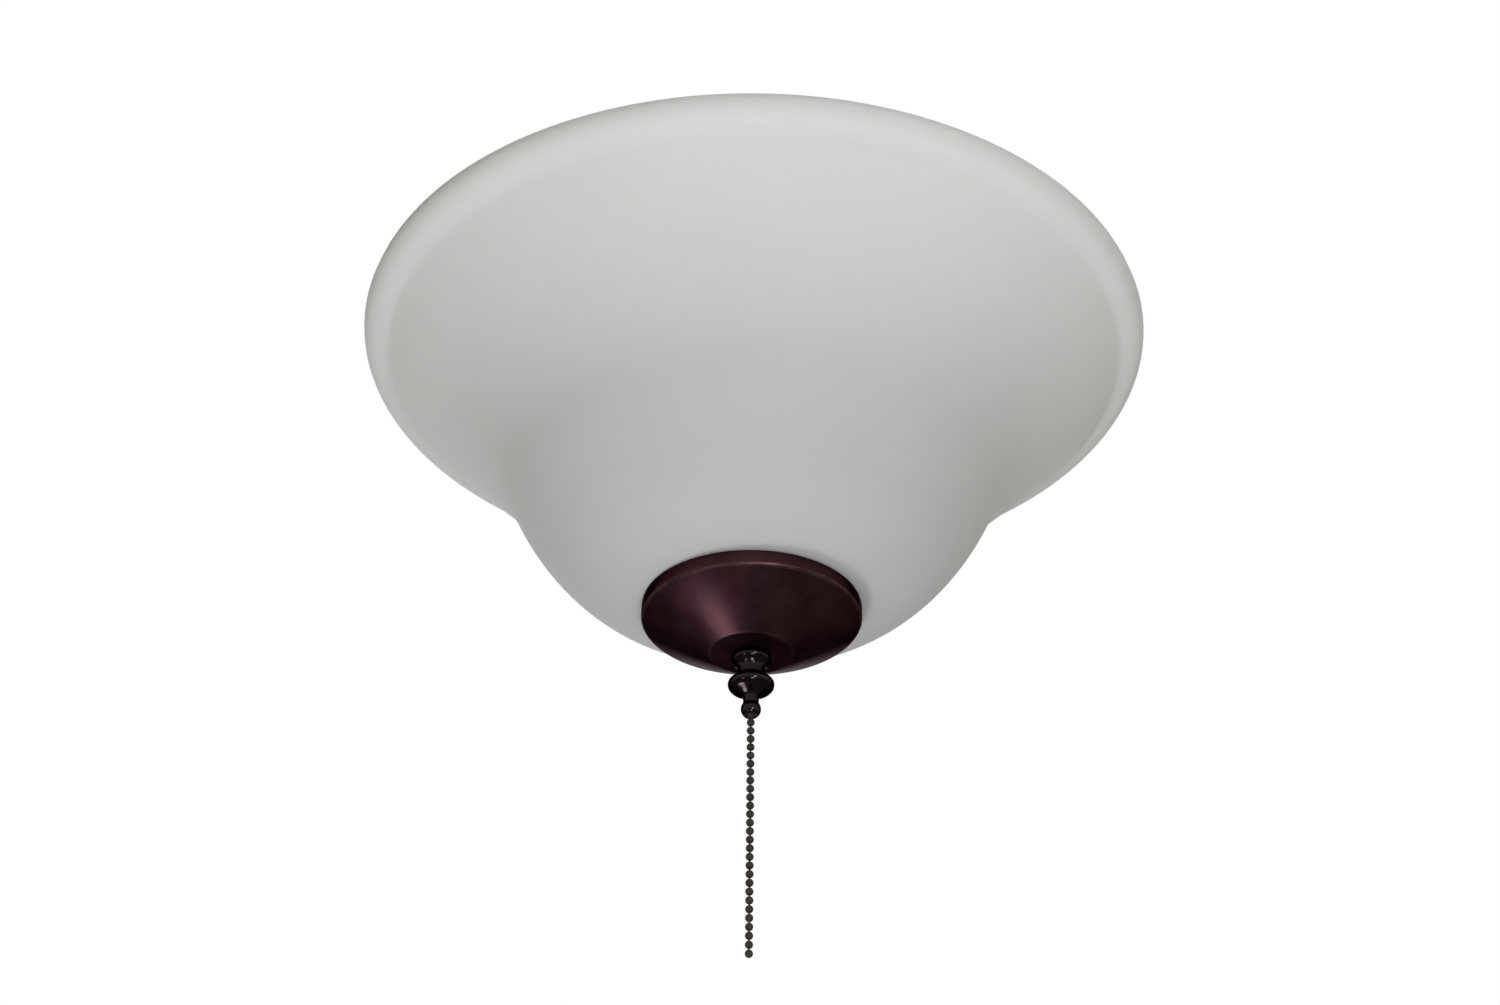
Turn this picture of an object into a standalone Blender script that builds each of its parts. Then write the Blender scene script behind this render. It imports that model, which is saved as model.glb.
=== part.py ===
"""Ceiling fan light kit, in metres with +Z up.

A frosted glass bowl hangs under three lamps. A retaining cap and a finial on a hollow rod hold
it from below, and a pull switch in the middle is worked by a bead chain that runs down inside
the rod. The origin is the centre of the fitter pan's top face, which lies against the fan.
"""

import math

import bmesh
import bpy
from mathutils import Matrix, Vector
from mathutils.geometry import interpolate_bezier

# Clearance between pieces that touch, and how far a cutter runs past what it cuts
FIT_GAP = 0.0003
CUTTER_OVERRUN = 0.002

# Fitter pan, the steel dish that closes the top
PAN_RADIUS = 0.075
PAN_DEPTH = 0.014
PAN_SHOULDER = 0.009
PAN_WALL = 0.0012

# Threaded nipple that the fan holds, with its nuts and washers
NIPPLE_RADIUS = 0.00515
NIPPLE_BORE = 0.0034
NIPPLE_ABOVE = 0.012
NIPPLE_END_DEPTH = 0.012
NIPPLE_NUT_FLATS = 0.0159
NIPPLE_NUT_HEIGHT = 0.0045
FAN_PLATE_SPACE = 0.0024
LOCK_WASHER_RADIUS = 0.0088
LOCK_WASHER_THICKNESS = 0.001
LOCK_WASHER_TEETH = 8

# Cluster body, the steel cup that carries the sockets, and its cover
CLUSTER_RADIUS = 0.028
CLUSTER_WALL = 0.001
CLUSTER_ROUNDING = 0.004
COVER_SKIRT = 0.0085
COVER_THICKNESS = 0.0012
COVER_SCREW_RADIUS = 0.0016
COVER_SCREW_HEAD_RADIUS = 0.0034
COVER_SCREW_HEAD_HEIGHT = 0.0022
COVER_SCREW_LENGTH = 0.006
COVER_SCREW_HOLE = 0.0019

# Pull switch
DRUM_DEPTH = 0.02726
DRUM_PITCH_RADIUS = 0.006
DRUM_FLANGE_RADIUS = 0.0088
DRUM_FLANGE = 0.0008
AXLE_RADIUS = 0.0013
CASE_RADIUS = 0.013
CASE_WALL = 0.0012
CASE_WIDTH = 0.013
LID_THICKNESS = 0.0012
BUSH_RADIUS = 0.0046
BUSH_BORE = 0.0024
BUSH_SHOULDER = 0.0062
BUSH_SHOULDER_HEIGHT = 0.0012
BUSH_IN_CASE = 0.0036
BUSH_LENGTH_BELOW = 0.0072
BUSH_NUT_FLATS = 0.0125
BUSH_NUT_HEIGHT = 0.0026
BRACKET_WIDTH = 0.015
BRACKET_THICKNESS = 0.0012
BRACKET_REACH = 0.0075
BRACKET_BACK = 0.0094
SPRING_WIRE_RADIUS = 0.0004
SPRING_TURNS = 3
SPRING_ANCHOR_ANGLE = math.radians(120)
ROTOR_RADIUS = 0.0078
ROTOR_THICKNESS = 0.0014
TERMINAL_WIDTH = 0.0048
TERMINAL_THICKNESS = 0.0008
TERMINAL_OUT = 0.0045
TERMINAL_APART = 0.0084

# Sockets and lamps, three round the cluster body, measured outwards from its axis
SOCKET_COUNT = 3
SOCKET_DEPTH = 0.037
SOCKET_FIRST_ANGLE = math.radians(90)
HOLLOW_BOLT_RADIUS = 0.0048
HOLLOW_BOLT_BORE = 0.0034
HOLLOW_BOLT_HEAD_RADIUS = 0.008
HOLLOW_BOLT_HEAD = 0.0032
HOLLOW_BOLT_IN_SOCKET = 0.0095
SOCKET_NECK_RADIUS = 0.0095
SOCKET_NECK_LENGTH = 0.0075
SOCKET_SHOULDER_LENGTH = 0.005
SOCKET_RADIUS = 0.018
SOCKET_LENGTH = 0.0375
SOCKET_FLOOR = 0.0115
SOCKET_WALL = 0.0026
SOCKET_LIP = 0.0008
SHELL_RADIUS = 0.0138
SHELL_WALL = 0.0005
SHELL_LENGTH = 0.023
SHELL_FLOOR_HOLE = 0.0085
CONTACT_WIDTH = 0.005
CONTACT_THICKNESS = 0.0005
CONTACT_RISE = 0.0062
CONTACT_FOOT = 0.0075
CONTACT_STEP = 0.002
BASE_RADIUS = 0.0129
BASE_WALL = 0.0006
BASE_LENGTH = 0.0265
BASE_TIP_RADIUS = 0.0046
BASE_TIP_HEIGHT = 0.0012
BASE_INSULATOR_HEIGHT = 0.0042
BULB_ROOM_SHARE = 0.6757
BULB_ROUND_SHARE = 0.2812
BULB_JOIN_ANGLE = math.radians(50)
BULB_NECK_RADIUS = 0.0119
BULB_NECK_IN_BASE = 0.015
BULB_WALL = 0.001

# Leads from the sockets to their two connectors
LEAD_RADIUS = 0.0009
LEAD_OFFSET = 0.0014
LEAD_OUTER_LANE = 0.0202
LEAD_INNER_LANE = 0.0170
LEAD_HIGH_LANE_DEPTH = 0.0285
LEAD_MIDDLE_LANE_DEPTH = 0.0330
LEAD_LOW_LANE_DEPTH = 0.0445
LEAD_PAST_FLOOR = 0.0005
LEAD_BEND_ANGLE = math.radians(32)
LEAD_LAST_BEND_ANGLE = math.radians(25)
CONNECTOR_RADIUS = 0.0046
CONNECTOR_TIP_RADIUS = 0.003
CONNECTOR_LENGTH = 0.0155
CONNECTOR_OUT = 0.0188
CONNECTOR_TOP_DEPTH = 0.009
CONNECTOR_GRIP = 0.004
CONNECTOR_SPREAD_ANGLE = math.radians(9)
WHITE_CONNECTOR_ANGLE = math.radians(152)
BLACK_CONNECTOR_ANGLE = math.radians(258)

# Hollow centre rod with the nuts, washers and gasket that it carries
STEM_RADIUS = 0.004
STEM_BORE = 0.0025
STEM_BELOW_BUSH = 0.00204
STEM_ABOVE_COVER = 0.0058
STEM_BELOW_CAP = 0.0105
STEM_NUT_FLATS = 0.013
STEM_NUT_HEIGHT = 0.004
STEM_WASHER_RADIUS = 0.0075
SEAT_WASHER_RADIUS = 0.016
SEAT_WASHER_THICKNESS = 0.0015
GASKET_RADIUS = 0.0145
GASKET_THICKNESS = 0.002

# Glass bowl, measured down from the top edge of its rim
RIM_RADIUS = 0.165
RIM_DEPTH = 0.020
GLASS_WALL = 0.004
LIP_CROWN_DEPTH = 0.0031
LIP_HEIGHT = 0.0129
LIP_OVERHANG = 0.0102
LIP_EDGE_ROUND = 0.0009
FLARE_START_ANGLE = math.radians(37.4)
WAIST_RADIUS = 0.1000
WAIST_DEPTH = 0.0770
WAIST_ANGLE = math.radians(24.2)
BASE_EDGE_INSIDE_CAP = 0.00035
BASE_EDGE_RISE = 0.0031
BASE_EDGE_ANGLE = math.radians(11.5)
BOWL_DEPTH = 0.1316
GLASS_HOLE_RADIUS = 0.0065
FLARE_HANDLE_SHARES = (0.274, 0.327)
BELLY_HANDLE_SHARES = (0.262, 0.387)
FLOOR_HANDLE_SHARE = 0.35

# Retaining cap under the bowl, and its gasket ring
CAP_RADIUS = 0.04435
CAP_RIM_HEIGHT = 0.0066
CAP_DEPTH = 0.02135
CAP_FLAT_RADIUS = 0.0168
CAP_WALL = 0.0012
CAP_EDGE_ROUND = 0.0008
CAP_GASKET_WIDTH = 0.002

# Finial: depths are measured down from its top face
FINIAL_COLLAR_RADIUS = 0.0079
FINIAL_COLLAR_ROUNDING = 0.0026
FINIAL_COLLAR_DEPTH = 0.00235
FINIAL_COLLAR_END_ANGLE = math.radians(60)
FINIAL_NECK_RADIUS = 0.0054
FINIAL_NECK_DEPTH = 0.0078
FINIAL_URN_RADIUS = 0.00927
FINIAL_URN_DEPTH = 0.0138
FINIAL_SHOULDER_ROUNDING = 0.0023
FINIAL_SHOULDER_ANGLE = math.radians(75)
FINIAL_BAND_ROUNDING = 0.0030
FINIAL_CREASE_ANGLE = math.radians(49)
FINIAL_CREASE_CUT = 0.00012
FINIAL_WAIST_RADIUS = 0.00314
FINIAL_WAIST_DEPTH = 0.0190
FINIAL_BALL_RADIUS = 0.00402
FINIAL_BALL_DEPTH = 0.02485
FINIAL_THREAD_DEPTH = 0.0125
FINIAL_BORE = 0.0021

# Bead chain
BEAD_RADIUS = 0.0016
BEAD_PITCH = 0.00363
SHANK_RADIUS = 0.00035
BEAD_WALL = 0.0003
SHANK_HEAD_RADIUS = 0.00105
BEAD_MOUTH_ANGLE = math.radians(55)
CHAIN_BELOW_FINIAL = 0.010
FREE_BEADS = 24
DRUM_BEADS = 3

# How many flats make a round, and the least angle of a real edge
BOWL_SIDES = 40
WIDE_SIDES = 32
FINIAL_SIDES = 20
ROUND_SIDES = 16
SMALL_SIDES = 10
BEAD_SIDES = 6
LEAD_SIDES = 6
SHARP_EDGE_ANGLE = math.radians(35)

# Heights and places that follow from the sizes above
CLUSTER_TOP = -PAN_WALL - FIT_GAP
CLUSTER_INSIDE = CLUSTER_RADIUS - CLUSTER_WALL
BRACKET_TOP = CLUSTER_TOP - CLUSTER_WALL - FIT_GAP
INNER_WASHER_TOP = BRACKET_TOP - BRACKET_THICKNESS - FIT_GAP
INNER_NUT_TOP = INNER_WASHER_TOP - LOCK_WASHER_THICKNESS - FIT_GAP
DRUM_Z = -DRUM_DEPTH
DRUM_X = DRUM_PITCH_RADIUS
DRUM_HALF_WIDTH = BEAD_RADIUS + FIT_GAP + DRUM_FLANGE
CASE_BOTTOM = DRUM_Z - CASE_RADIUS
BUSH_SHOULDER_BOTTOM = CASE_BOTTOM - FIT_GAP - BUSH_SHOULDER_HEIGHT
BUSH_BOTTOM = BUSH_SHOULDER_BOTTOM - BUSH_LENGTH_BELOW
BRACKET_FOOT_TOP = BUSH_SHOULDER_BOTTOM - FIT_GAP
BUSH_NUT_TOP = BRACKET_FOOT_TOP - BRACKET_THICKNESS - FIT_GAP
STEM_TOP = BUSH_BOTTOM - STEM_BELOW_BUSH
COVER_TOP = STEM_TOP - STEM_ABOVE_COVER
CLUSTER_BOTTOM = COVER_TOP - COVER_THICKNESS
SOCKET_Z = -SOCKET_DEPTH
WALL_AT_HEAD = math.sqrt(CLUSTER_INSIDE**2 - HOLLOW_BOLT_HEAD_RADIUS**2)
SOCKET_BACK = CLUSTER_RADIUS + FIT_GAP
SOCKET_SEAT = SOCKET_BACK + SOCKET_FLOOR
BULB_TIP = SOCKET_SEAT + FIT_GAP + CONTACT_RISE + FIT_GAP
BULB_LENGTH = (RIM_RADIUS - BULB_TIP) * BULB_ROOM_SHARE
BULB_RADIUS = BULB_LENGTH * BULB_ROUND_SHARE
RIM_Z = -RIM_DEPTH
BOWL_BOTTOM = RIM_Z - BOWL_DEPTH
BASE_EDGE_RADIUS = CAP_RADIUS - BASE_EDGE_INSIDE_CAP
BASE_EDGE_Z = BOWL_BOTTOM + BASE_EDGE_RISE
GLASS_FLOOR = BOWL_BOTTOM + GLASS_WALL
GASKET_BOTTOM = GLASS_FLOOR + FIT_GAP
SEAT_WASHER_BOTTOM = GASKET_BOTTOM + GASKET_THICKNESS + FIT_GAP
STOP_NUT_BOTTOM = SEAT_WASHER_BOTTOM + SEAT_WASHER_THICKNESS + FIT_GAP
CAP_TOP = BASE_EDGE_Z - 2 * FIT_GAP
CAP_BOTTOM = CAP_TOP - CAP_DEPTH
FINIAL_TOP = CAP_BOTTOM - FIT_GAP
FINIAL_BOTTOM = FINIAL_TOP - FINIAL_BALL_DEPTH - FINIAL_BALL_RADIUS
STEM_BOTTOM = CAP_BOTTOM - STEM_BELOW_CAP
PIVOT_BEAD = math.ceil((DRUM_Z - FINIAL_BOTTOM + CHAIN_BELOW_FINIAL) / BEAD_PITCH)
PIVOT_Z = DRUM_Z - PIVOT_BEAD * BEAD_PITCH
LINK_Z = PIVOT_Z - BEAD_PITCH


def clear_scene():
    for old in list(bpy.data.objects):
        bpy.data.objects.remove(old, do_unlink=True)


def material(name, colour, roughness, metallic=0.0):
    finish = bpy.data.materials.new(name)
    finish.use_nodes = True
    shader = finish.node_tree.nodes["Principled BSDF"]
    shader.inputs["Base Color"].default_value = (*colour, 1.0)
    shader.inputs["Roughness"].default_value = roughness
    shader.inputs["Metallic"].default_value = metallic
    finish.diffuse_color = (*colour, 1.0)
    return finish


def add_object(name, data, finish, at=(0, 0, 0), turn=(0, 0, 0), parent=None):
    piece = bpy.data.objects.new(name, data)
    bpy.context.scene.collection.objects.link(piece)
    piece.location = at
    piece.rotation_euler = turn
    piece.parent = parent
    data.materials.append(finish)
    return piece


def empty(name, at):
    axis = bpy.data.objects.new(name, None)
    bpy.context.scene.collection.objects.link(axis)
    axis.location = at
    axis.empty_display_size = CAP_RADIUS
    return axis


def mesh_of(name, shape):
    """Turns a finished bmesh into a mesh, with round faces smooth and real edges sharp."""
    bmesh.ops.recalc_face_normals(shape, faces=shape.faces)
    mesh = bpy.data.meshes.new(name)
    shape.to_mesh(mesh)
    shape.free()
    mesh.shade_smooth()
    mesh.set_sharp_from_angle(angle=SHARP_EDGE_ANGLE)
    return mesh


def spin_outline(shape, outline, sides):
    """Spins a closed outline of (radius, height) points about Z."""
    corners = [shape.verts.new((radius, 0, height)) for radius, height in outline]
    edges = []
    for here, there in zip(corners, corners[1:] + corners[:1]):
        if here.co.x > 0 or there.co.x > 0:
            edges.append(shape.edges.new((here, there)))
    bmesh.ops.spin(
        shape,
        geom=corners + edges,
        cent=(0, 0, 0),
        axis=(0, 0, 1),
        angle=math.tau,
        steps=sides,
        use_merge=True,
    )
    bmesh.ops.remove_doubles(shape, verts=shape.verts, dist=FIT_GAP / 1000)


def turned(name, outline, sides, finish, **place):
    shape = bmesh.new()
    spin_outline(shape, outline, sides)
    return add_object(name, mesh_of(name, shape), finish, **place)


def ring_outline(inner, outer, low, high):
    return [(inner, low), (outer, low), (outer, high), (inner, high)]


def arc(centre, radius, start, end, steps):
    """Points along a round stretch, both ends included."""
    points = []
    for step in range(steps + 1):
        angle = start + (end - start) * step / steps
        across = centre[0] + radius * math.cos(angle)
        points.append((across, centre[1] + radius * math.sin(angle)))
    return points


def quarter_turn(steps):
    """Cosine and sine pairs over a quarter of a turn, both ends included."""
    return arc((0, 0), 1, 0, math.pi / 2, steps)


def curve_points(start, start_handle, end_handle, end, steps):
    """Points along a smooth curve, its first point left out."""
    knots = [Vector(point).to_3d() for point in (start, start_handle, end_handle, end)]
    return [(p.x, p.y) for p in interpolate_bezier(*knots, steps + 1)[1:]]


def offset_path(path, distance):
    """The path moved sideways by a distance, to its right when walked from first to last."""
    moved = []
    for index, point in enumerate(path):
        before = Vector(path[max(index - 1, 0)])
        after = Vector(path[min(index + 1, len(path) - 1)])
        along = (after - before).normalized()
        moved.append((point[0] + along.y * distance, point[1] - along.x * distance))
    return moved


def polygon(radius, sides, start=0.0):
    points = []
    for side in range(sides):
        angle = start + math.tau * side / sides
        points.append((radius * math.cos(angle), radius * math.sin(angle)))
    return points


def flat_piece(name, outlines, thickness, finish, **place):
    """A plate of even thickness from closed outlines, with its lower face at its origin."""
    curve = bpy.data.curves.new(name, "CURVE")
    curve.dimensions = "2D"
    curve.fill_mode = "BOTH"
    curve.extrude = thickness / 2
    for outline in outlines:
        spline = curve.splines.new("POLY")
        spline.points.add(len(outline) - 1)
        spline.use_cyclic_u = True
        for point, (x, y) in zip(spline.points, outline):
            point.co = (x, y, 0, 1)
    piece = add_object(name, curve, finish, **place)
    piece.delta_location = piece.rotation_euler.to_matrix() @ Vector((0, 0, thickness / 2))
    return piece


def hex_nut(name, flats, bore, height, finish, **place):
    outlines = [polygon(flats / math.sqrt(3), 6), polygon(bore, ROUND_SIDES)]
    return flat_piece(name, outlines, height, finish, **place)


def lock_washer(name, bottom, finish):
    """A toothed washer on the nipple: its outer edge steps out and in, tooth by tooth."""
    tooth_root = (LOCK_WASHER_RADIUS + NIPPLE_RADIUS) / 2
    edge = []
    for tooth in range(LOCK_WASHER_TEETH):
        for corner, reach in enumerate((tooth_root, LOCK_WASHER_RADIUS, LOCK_WASHER_RADIUS, tooth_root)):
            angle = math.tau * (tooth + corner / 4) / LOCK_WASHER_TEETH
            edge.append((reach * math.cos(angle), reach * math.sin(angle)))
    hole = polygon(NIPPLE_RADIUS + FIT_GAP, ROUND_SIDES)
    return flat_piece(name, [edge, hole], LOCK_WASHER_THICKNESS, finish, at=(0, 0, bottom))


def strip_mesh(name, side, width):
    """A bent strip of sheet: its side outline in X and Z, swept across its width."""
    shape = bmesh.new()
    corners = [shape.verts.new((x, -width / 2, z)) for x, z in side]
    face = shape.faces.new(corners)
    swept = bmesh.ops.extrude_face_region(shape, geom=[face])
    moved = [item for item in swept["geom"] if isinstance(item, bmesh.types.BMVert)]
    bmesh.ops.translate(shape, verts=moved, vec=(0, width, 0))
    return mesh_of(name, shape)


def hidden_tool(name, mesh, at=(0, 0, 0), turn=(0, 0, 0)):
    """An object that only cuts another one or is joined to it."""
    tool = bpy.data.objects.new(name, mesh)
    bpy.context.scene.collection.objects.link(tool)
    tool.location = at
    tool.rotation_euler = turn
    tool.hide_render = True
    tool.display_type = "WIRE"
    return tool


def round_cutter(name, radius, low, high, at, turn=(0, 0, 0), sides=ROUND_SIDES):
    outline = [(0, low), (radius, low), (radius, high), (0, high)]
    shape = bmesh.new()
    spin_outline(shape, outline, sides)
    return hidden_tool(name, mesh_of(name, shape), at, turn)


def combine(piece, tool, operation="DIFFERENCE"):
    change = piece.modifiers.new(tool.name, "BOOLEAN")
    change.operation = operation
    change.object = tool
    change.solver = "EXACT"


def outwards(angle):
    """The turn that lays a piece's own Z axis level, pointing out at this angle."""
    return (0, math.pi / 2, angle)


def socket_angles():
    step = math.tau / SOCKET_COUNT
    return [SOCKET_FIRST_ANGLE + step * place for place in range(SOCKET_COUNT)]


def screw_angles():
    return [angle + math.pi / SOCKET_COUNT for angle in socket_angles()]


def make_fitter_pan(steel):
    shoulder = (PAN_RADIUS - PAN_SHOULDER, -PAN_SHOULDER)
    outer = [(NIPPLE_RADIUS + FIT_GAP, 0)]
    outer += arc(shoulder, PAN_SHOULDER, math.pi / 2, 0, 4)
    outer.append((PAN_RADIUS, -PAN_DEPTH))
    inner = [(NIPPLE_RADIUS + FIT_GAP, -PAN_WALL)]
    inner += arc(shoulder, PAN_SHOULDER - PAN_WALL, math.pi / 2, 0, 4)
    inner.append((PAN_RADIUS - PAN_WALL, -PAN_DEPTH))
    return turned("fitter_pan", outer + inner[::-1], WIDE_SIDES, steel)


def make_nipple_group(zinc):
    tube = ring_outline(NIPPLE_BORE, NIPPLE_RADIUS, -NIPPLE_END_DEPTH, NIPPLE_ABOVE)
    turned("top_nipple", tube, ROUND_SIDES, zinc)
    lock_washer("top_lock_washer", FAN_PLATE_SPACE, zinc)
    top_nut_bottom = FAN_PLATE_SPACE + LOCK_WASHER_THICKNESS + FIT_GAP
    bore = NIPPLE_RADIUS + FIT_GAP
    hex_nut(
        "top_nut", NIPPLE_NUT_FLATS, bore, NIPPLE_NUT_HEIGHT, zinc, at=(0, 0, top_nut_bottom)
    )
    lock_washer("inner_lock_washer", INNER_WASHER_TOP - LOCK_WASHER_THICKNESS, zinc)
    inner_nut_bottom = INNER_NUT_TOP - NIPPLE_NUT_HEIGHT
    hex_nut(
        "inner_nut", NIPPLE_NUT_FLATS, bore, NIPPLE_NUT_HEIGHT, zinc, at=(0, 0, inner_nut_bottom)
    )


def make_cluster_body(steel):
    corner = (CLUSTER_RADIUS - CLUSTER_ROUNDING, CLUSTER_TOP - CLUSTER_ROUNDING)
    outer = [(NIPPLE_RADIUS + FIT_GAP, CLUSTER_TOP)]
    outer += arc(corner, CLUSTER_ROUNDING, math.pi / 2, 0, 3)
    outer.append((CLUSTER_RADIUS, CLUSTER_BOTTOM))
    inner = [(NIPPLE_RADIUS + FIT_GAP, CLUSTER_TOP - CLUSTER_WALL)]
    inner += arc(corner, CLUSTER_ROUNDING - CLUSTER_WALL, math.pi / 2, 0, 3)
    inner.append((CLUSTER_INSIDE, CLUSTER_BOTTOM))
    body = turned("cluster_body", outer + inner[::-1], WIDE_SIDES, steel)
    low = CLUSTER_INSIDE - CUTTER_OVERRUN
    high = CLUSTER_RADIUS + CUTTER_OVERRUN
    for number, angle in enumerate(socket_angles(), 1):
        name = f"socket_hole_cutter_{number}"
        hole = HOLLOW_BOLT_RADIUS + FIT_GAP
        combine(body, round_cutter(name, hole, low, high, (0, 0, SOCKET_Z), outwards(angle)))
    return body


def make_cluster_cover(steel):
    outside = CLUSTER_INSIDE - FIT_GAP
    inside = outside - CLUSTER_WALL
    hole = STEM_RADIUS + FIT_GAP
    outline = [
        (hole, CLUSTER_BOTTOM),
        (outside, CLUSTER_BOTTOM),
        (outside, COVER_TOP + COVER_SKIRT),
        (inside, COVER_TOP + COVER_SKIRT),
        (inside, COVER_TOP),
        (hole, COVER_TOP),
    ]
    return turned("cluster_cover", outline, WIDE_SIDES, steel)


def make_cover_screws(body, cover, zinc):
    """Round-head screws that go in from the side, through the body's wall and the cover's skirt."""
    screw_z = COVER_TOP + COVER_SKIRT / 2
    head_start = CLUSTER_RADIUS + FIT_GAP
    head_end = head_start + COVER_SCREW_HEAD_HEIGHT
    shank_end = head_start - COVER_SCREW_LENGTH
    for number, angle in enumerate(screw_angles(), 1):
        outline = [(0, shank_end), (COVER_SCREW_RADIUS, shank_end)]
        outline.append((COVER_SCREW_RADIUS, head_start))
        for across, up in quarter_turn(4):
            height = head_start + up * COVER_SCREW_HEAD_HEIGHT
            outline.append((across * COVER_SCREW_HEAD_RADIUS, height))
        outline[-1] = (0, head_end)
        place = {"at": (0, 0, screw_z), "turn": outwards(angle)}
        turned(f"cover_screw_{number}", outline, SMALL_SIDES, zinc, **place)
        low = shank_end - CUTTER_OVERRUN
        high = head_start + CUTTER_OVERRUN
        name = f"screw_hole_cutter_{number}"
        tool = round_cutter(
            name, COVER_SCREW_HOLE, low, high, (0, 0, screw_z), outwards(angle), SMALL_SIDES
        )
        combine(body, tool)
        combine(cover, tool)


def make_switch_bracket(zinc):
    """A strap bent round the switch: its top leg is clamped on the nipple, its foot holds the bush."""
    back = BRACKET_BACK
    front = -BRACKET_REACH
    sheet = BRACKET_THICKNESS
    foot_bottom = BRACKET_FOOT_TOP - sheet
    side = [
        (front, BRACKET_TOP),
        (back + sheet, BRACKET_TOP),
        (back + sheet, foot_bottom),
        (front, foot_bottom),
        (front, BRACKET_FOOT_TOP),
        (back, BRACKET_FOOT_TOP),
        (back, BRACKET_TOP - sheet),
        (front, BRACKET_TOP - sheet),
    ]
    strap = strip_mesh("switch_bracket", side, BRACKET_WIDTH)
    bracket = add_object("switch_bracket", strap, zinc, turn=(0, 0, math.pi / 2))
    nipple_hole = NIPPLE_RADIUS + FIT_GAP
    low = BRACKET_TOP - sheet - CUTTER_OVERRUN
    high = BRACKET_TOP + CUTTER_OVERRUN
    combine(bracket, round_cutter("bracket_nipple_cutter", nipple_hole, low, high, (0, 0, 0)))
    bush_hole = BUSH_RADIUS + FIT_GAP
    low = foot_bottom - CUTTER_OVERRUN
    high = BRACKET_FOOT_TOP + CUTTER_OVERRUN
    combine(bracket, round_cutter("bracket_bush_cutter", bush_hole, low, high, (0, 0, 0)))


def switch_place(along):
    """Places a piece whose own Z axis lies along the switch's axle, which runs towards +Y."""
    return {"at": (DRUM_X, along, DRUM_Z), "turn": (-math.pi / 2, 0, 0)}


def make_switch_case(phenolic):
    depth = CASE_WIDTH - LID_THICKNESS
    inside = CASE_RADIUS - CASE_WALL
    hole = AXLE_RADIUS + FIT_GAP
    outline = [
        (hole, 0),
        (CASE_RADIUS, 0),
        (CASE_RADIUS, depth),
        (inside, depth),
        (inside, CASE_WALL),
        (hole, CASE_WALL),
    ]
    place = switch_place(-CASE_WIDTH / 2)
    case = turned("switch_case", outline, WIDE_SIDES, phenolic, **place)
    low = CASE_BOTTOM - CUTTER_OVERRUN
    high = DRUM_Z - DRUM_FLANGE_RADIUS / 2
    bush_hole = BUSH_RADIUS + FIT_GAP
    combine(case, round_cutter("case_bush_cutter", bush_hole, low, high, (0, 0, 0)))
    lid_outline = ring_outline(hole, CASE_RADIUS, FIT_GAP, LID_THICKNESS)
    turned("switch_lid", lid_outline, WIDE_SIDES, phenolic, **switch_place(depth - CASE_WIDTH / 2))
    return case


def make_switch_bush(brass, zinc):
    shoulder_top = CASE_BOTTOM - FIT_GAP
    outline = [
        (BUSH_BORE, BUSH_BOTTOM),
        (BUSH_RADIUS, BUSH_BOTTOM),
        (BUSH_RADIUS, BUSH_SHOULDER_BOTTOM),
        (BUSH_SHOULDER, BUSH_SHOULDER_BOTTOM),
        (BUSH_SHOULDER, shoulder_top),
        (BUSH_RADIUS, shoulder_top),
        (BUSH_RADIUS, shoulder_top + BUSH_IN_CASE),
        (BUSH_BORE, shoulder_top + BUSH_IN_CASE),
    ]
    turned("switch_bush", outline, ROUND_SIDES, brass)
    nut_bottom = BUSH_NUT_TOP - BUSH_NUT_HEIGHT
    bore = BUSH_RADIUS + FIT_GAP
    hex_nut("bush_nut", BUSH_NUT_FLATS, bore, BUSH_NUT_HEIGHT, zinc, at=(0, 0, nut_bottom))


def make_switch_drum(nylon, axis):
    """The drum that the chain winds on: two flanges with a round groove between them."""
    half = DRUM_HALF_WIDTH
    groove = half - DRUM_FLANGE
    floor = DRUM_PITCH_RADIUS - BEAD_RADIUS - FIT_GAP
    bore = AXLE_RADIUS + FIT_GAP
    outline = [
        (bore, -half),
        (DRUM_FLANGE_RADIUS, -half),
        (DRUM_FLANGE_RADIUS, -groove),
        (floor, -groove),
        (floor, groove),
        (DRUM_FLANGE_RADIUS, groove),
        (DRUM_FLANGE_RADIUS, half),
        (bore, half),
    ]
    turned("switch_drum", outline, ROUND_SIDES, nylon, turn=(-math.pi / 2, 0, 0), parent=axis)


def bead_chain_outline(beads, open_top=False, open_bottom=False):
    """The outline of a straight run of beads joined by shanks, from its first bead down."""
    pole = math.asin(SHANK_RADIUS / BEAD_RADIUS)
    cavity = BEAD_RADIUS - BEAD_WALL
    mouth = BEAD_MOUTH_ANGLE
    outline = []
    last = beads - 1
    for bead in range(beads):
        start, end = pole, math.pi - pole
        centre = (0, -bead * BEAD_PITCH)
        if bead == 0 and open_top:
            inner = arc(centre, cavity, -math.pi / 2, math.pi / 2 - mouth, 4)
            outline += [(0, inner[0][1])] + inner[1:]
            start = mouth
        elif bead == 0:
            outline.append((0, centre[1] + BEAD_RADIUS))
        if bead == last and open_bottom:
            end = math.pi - mouth
        outline += arc(centre, BEAD_RADIUS, math.pi / 2 - start, math.pi / 2 - end, 3)
        if bead == last and open_bottom:
            inner = arc(centre, cavity, mouth - math.pi / 2, math.pi / 2, 4)
            outline += inner[:-1] + [(0, inner[-1][1])]
        elif bead == last:
            outline.append((0, centre[1] - BEAD_RADIUS))
    return outline


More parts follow.
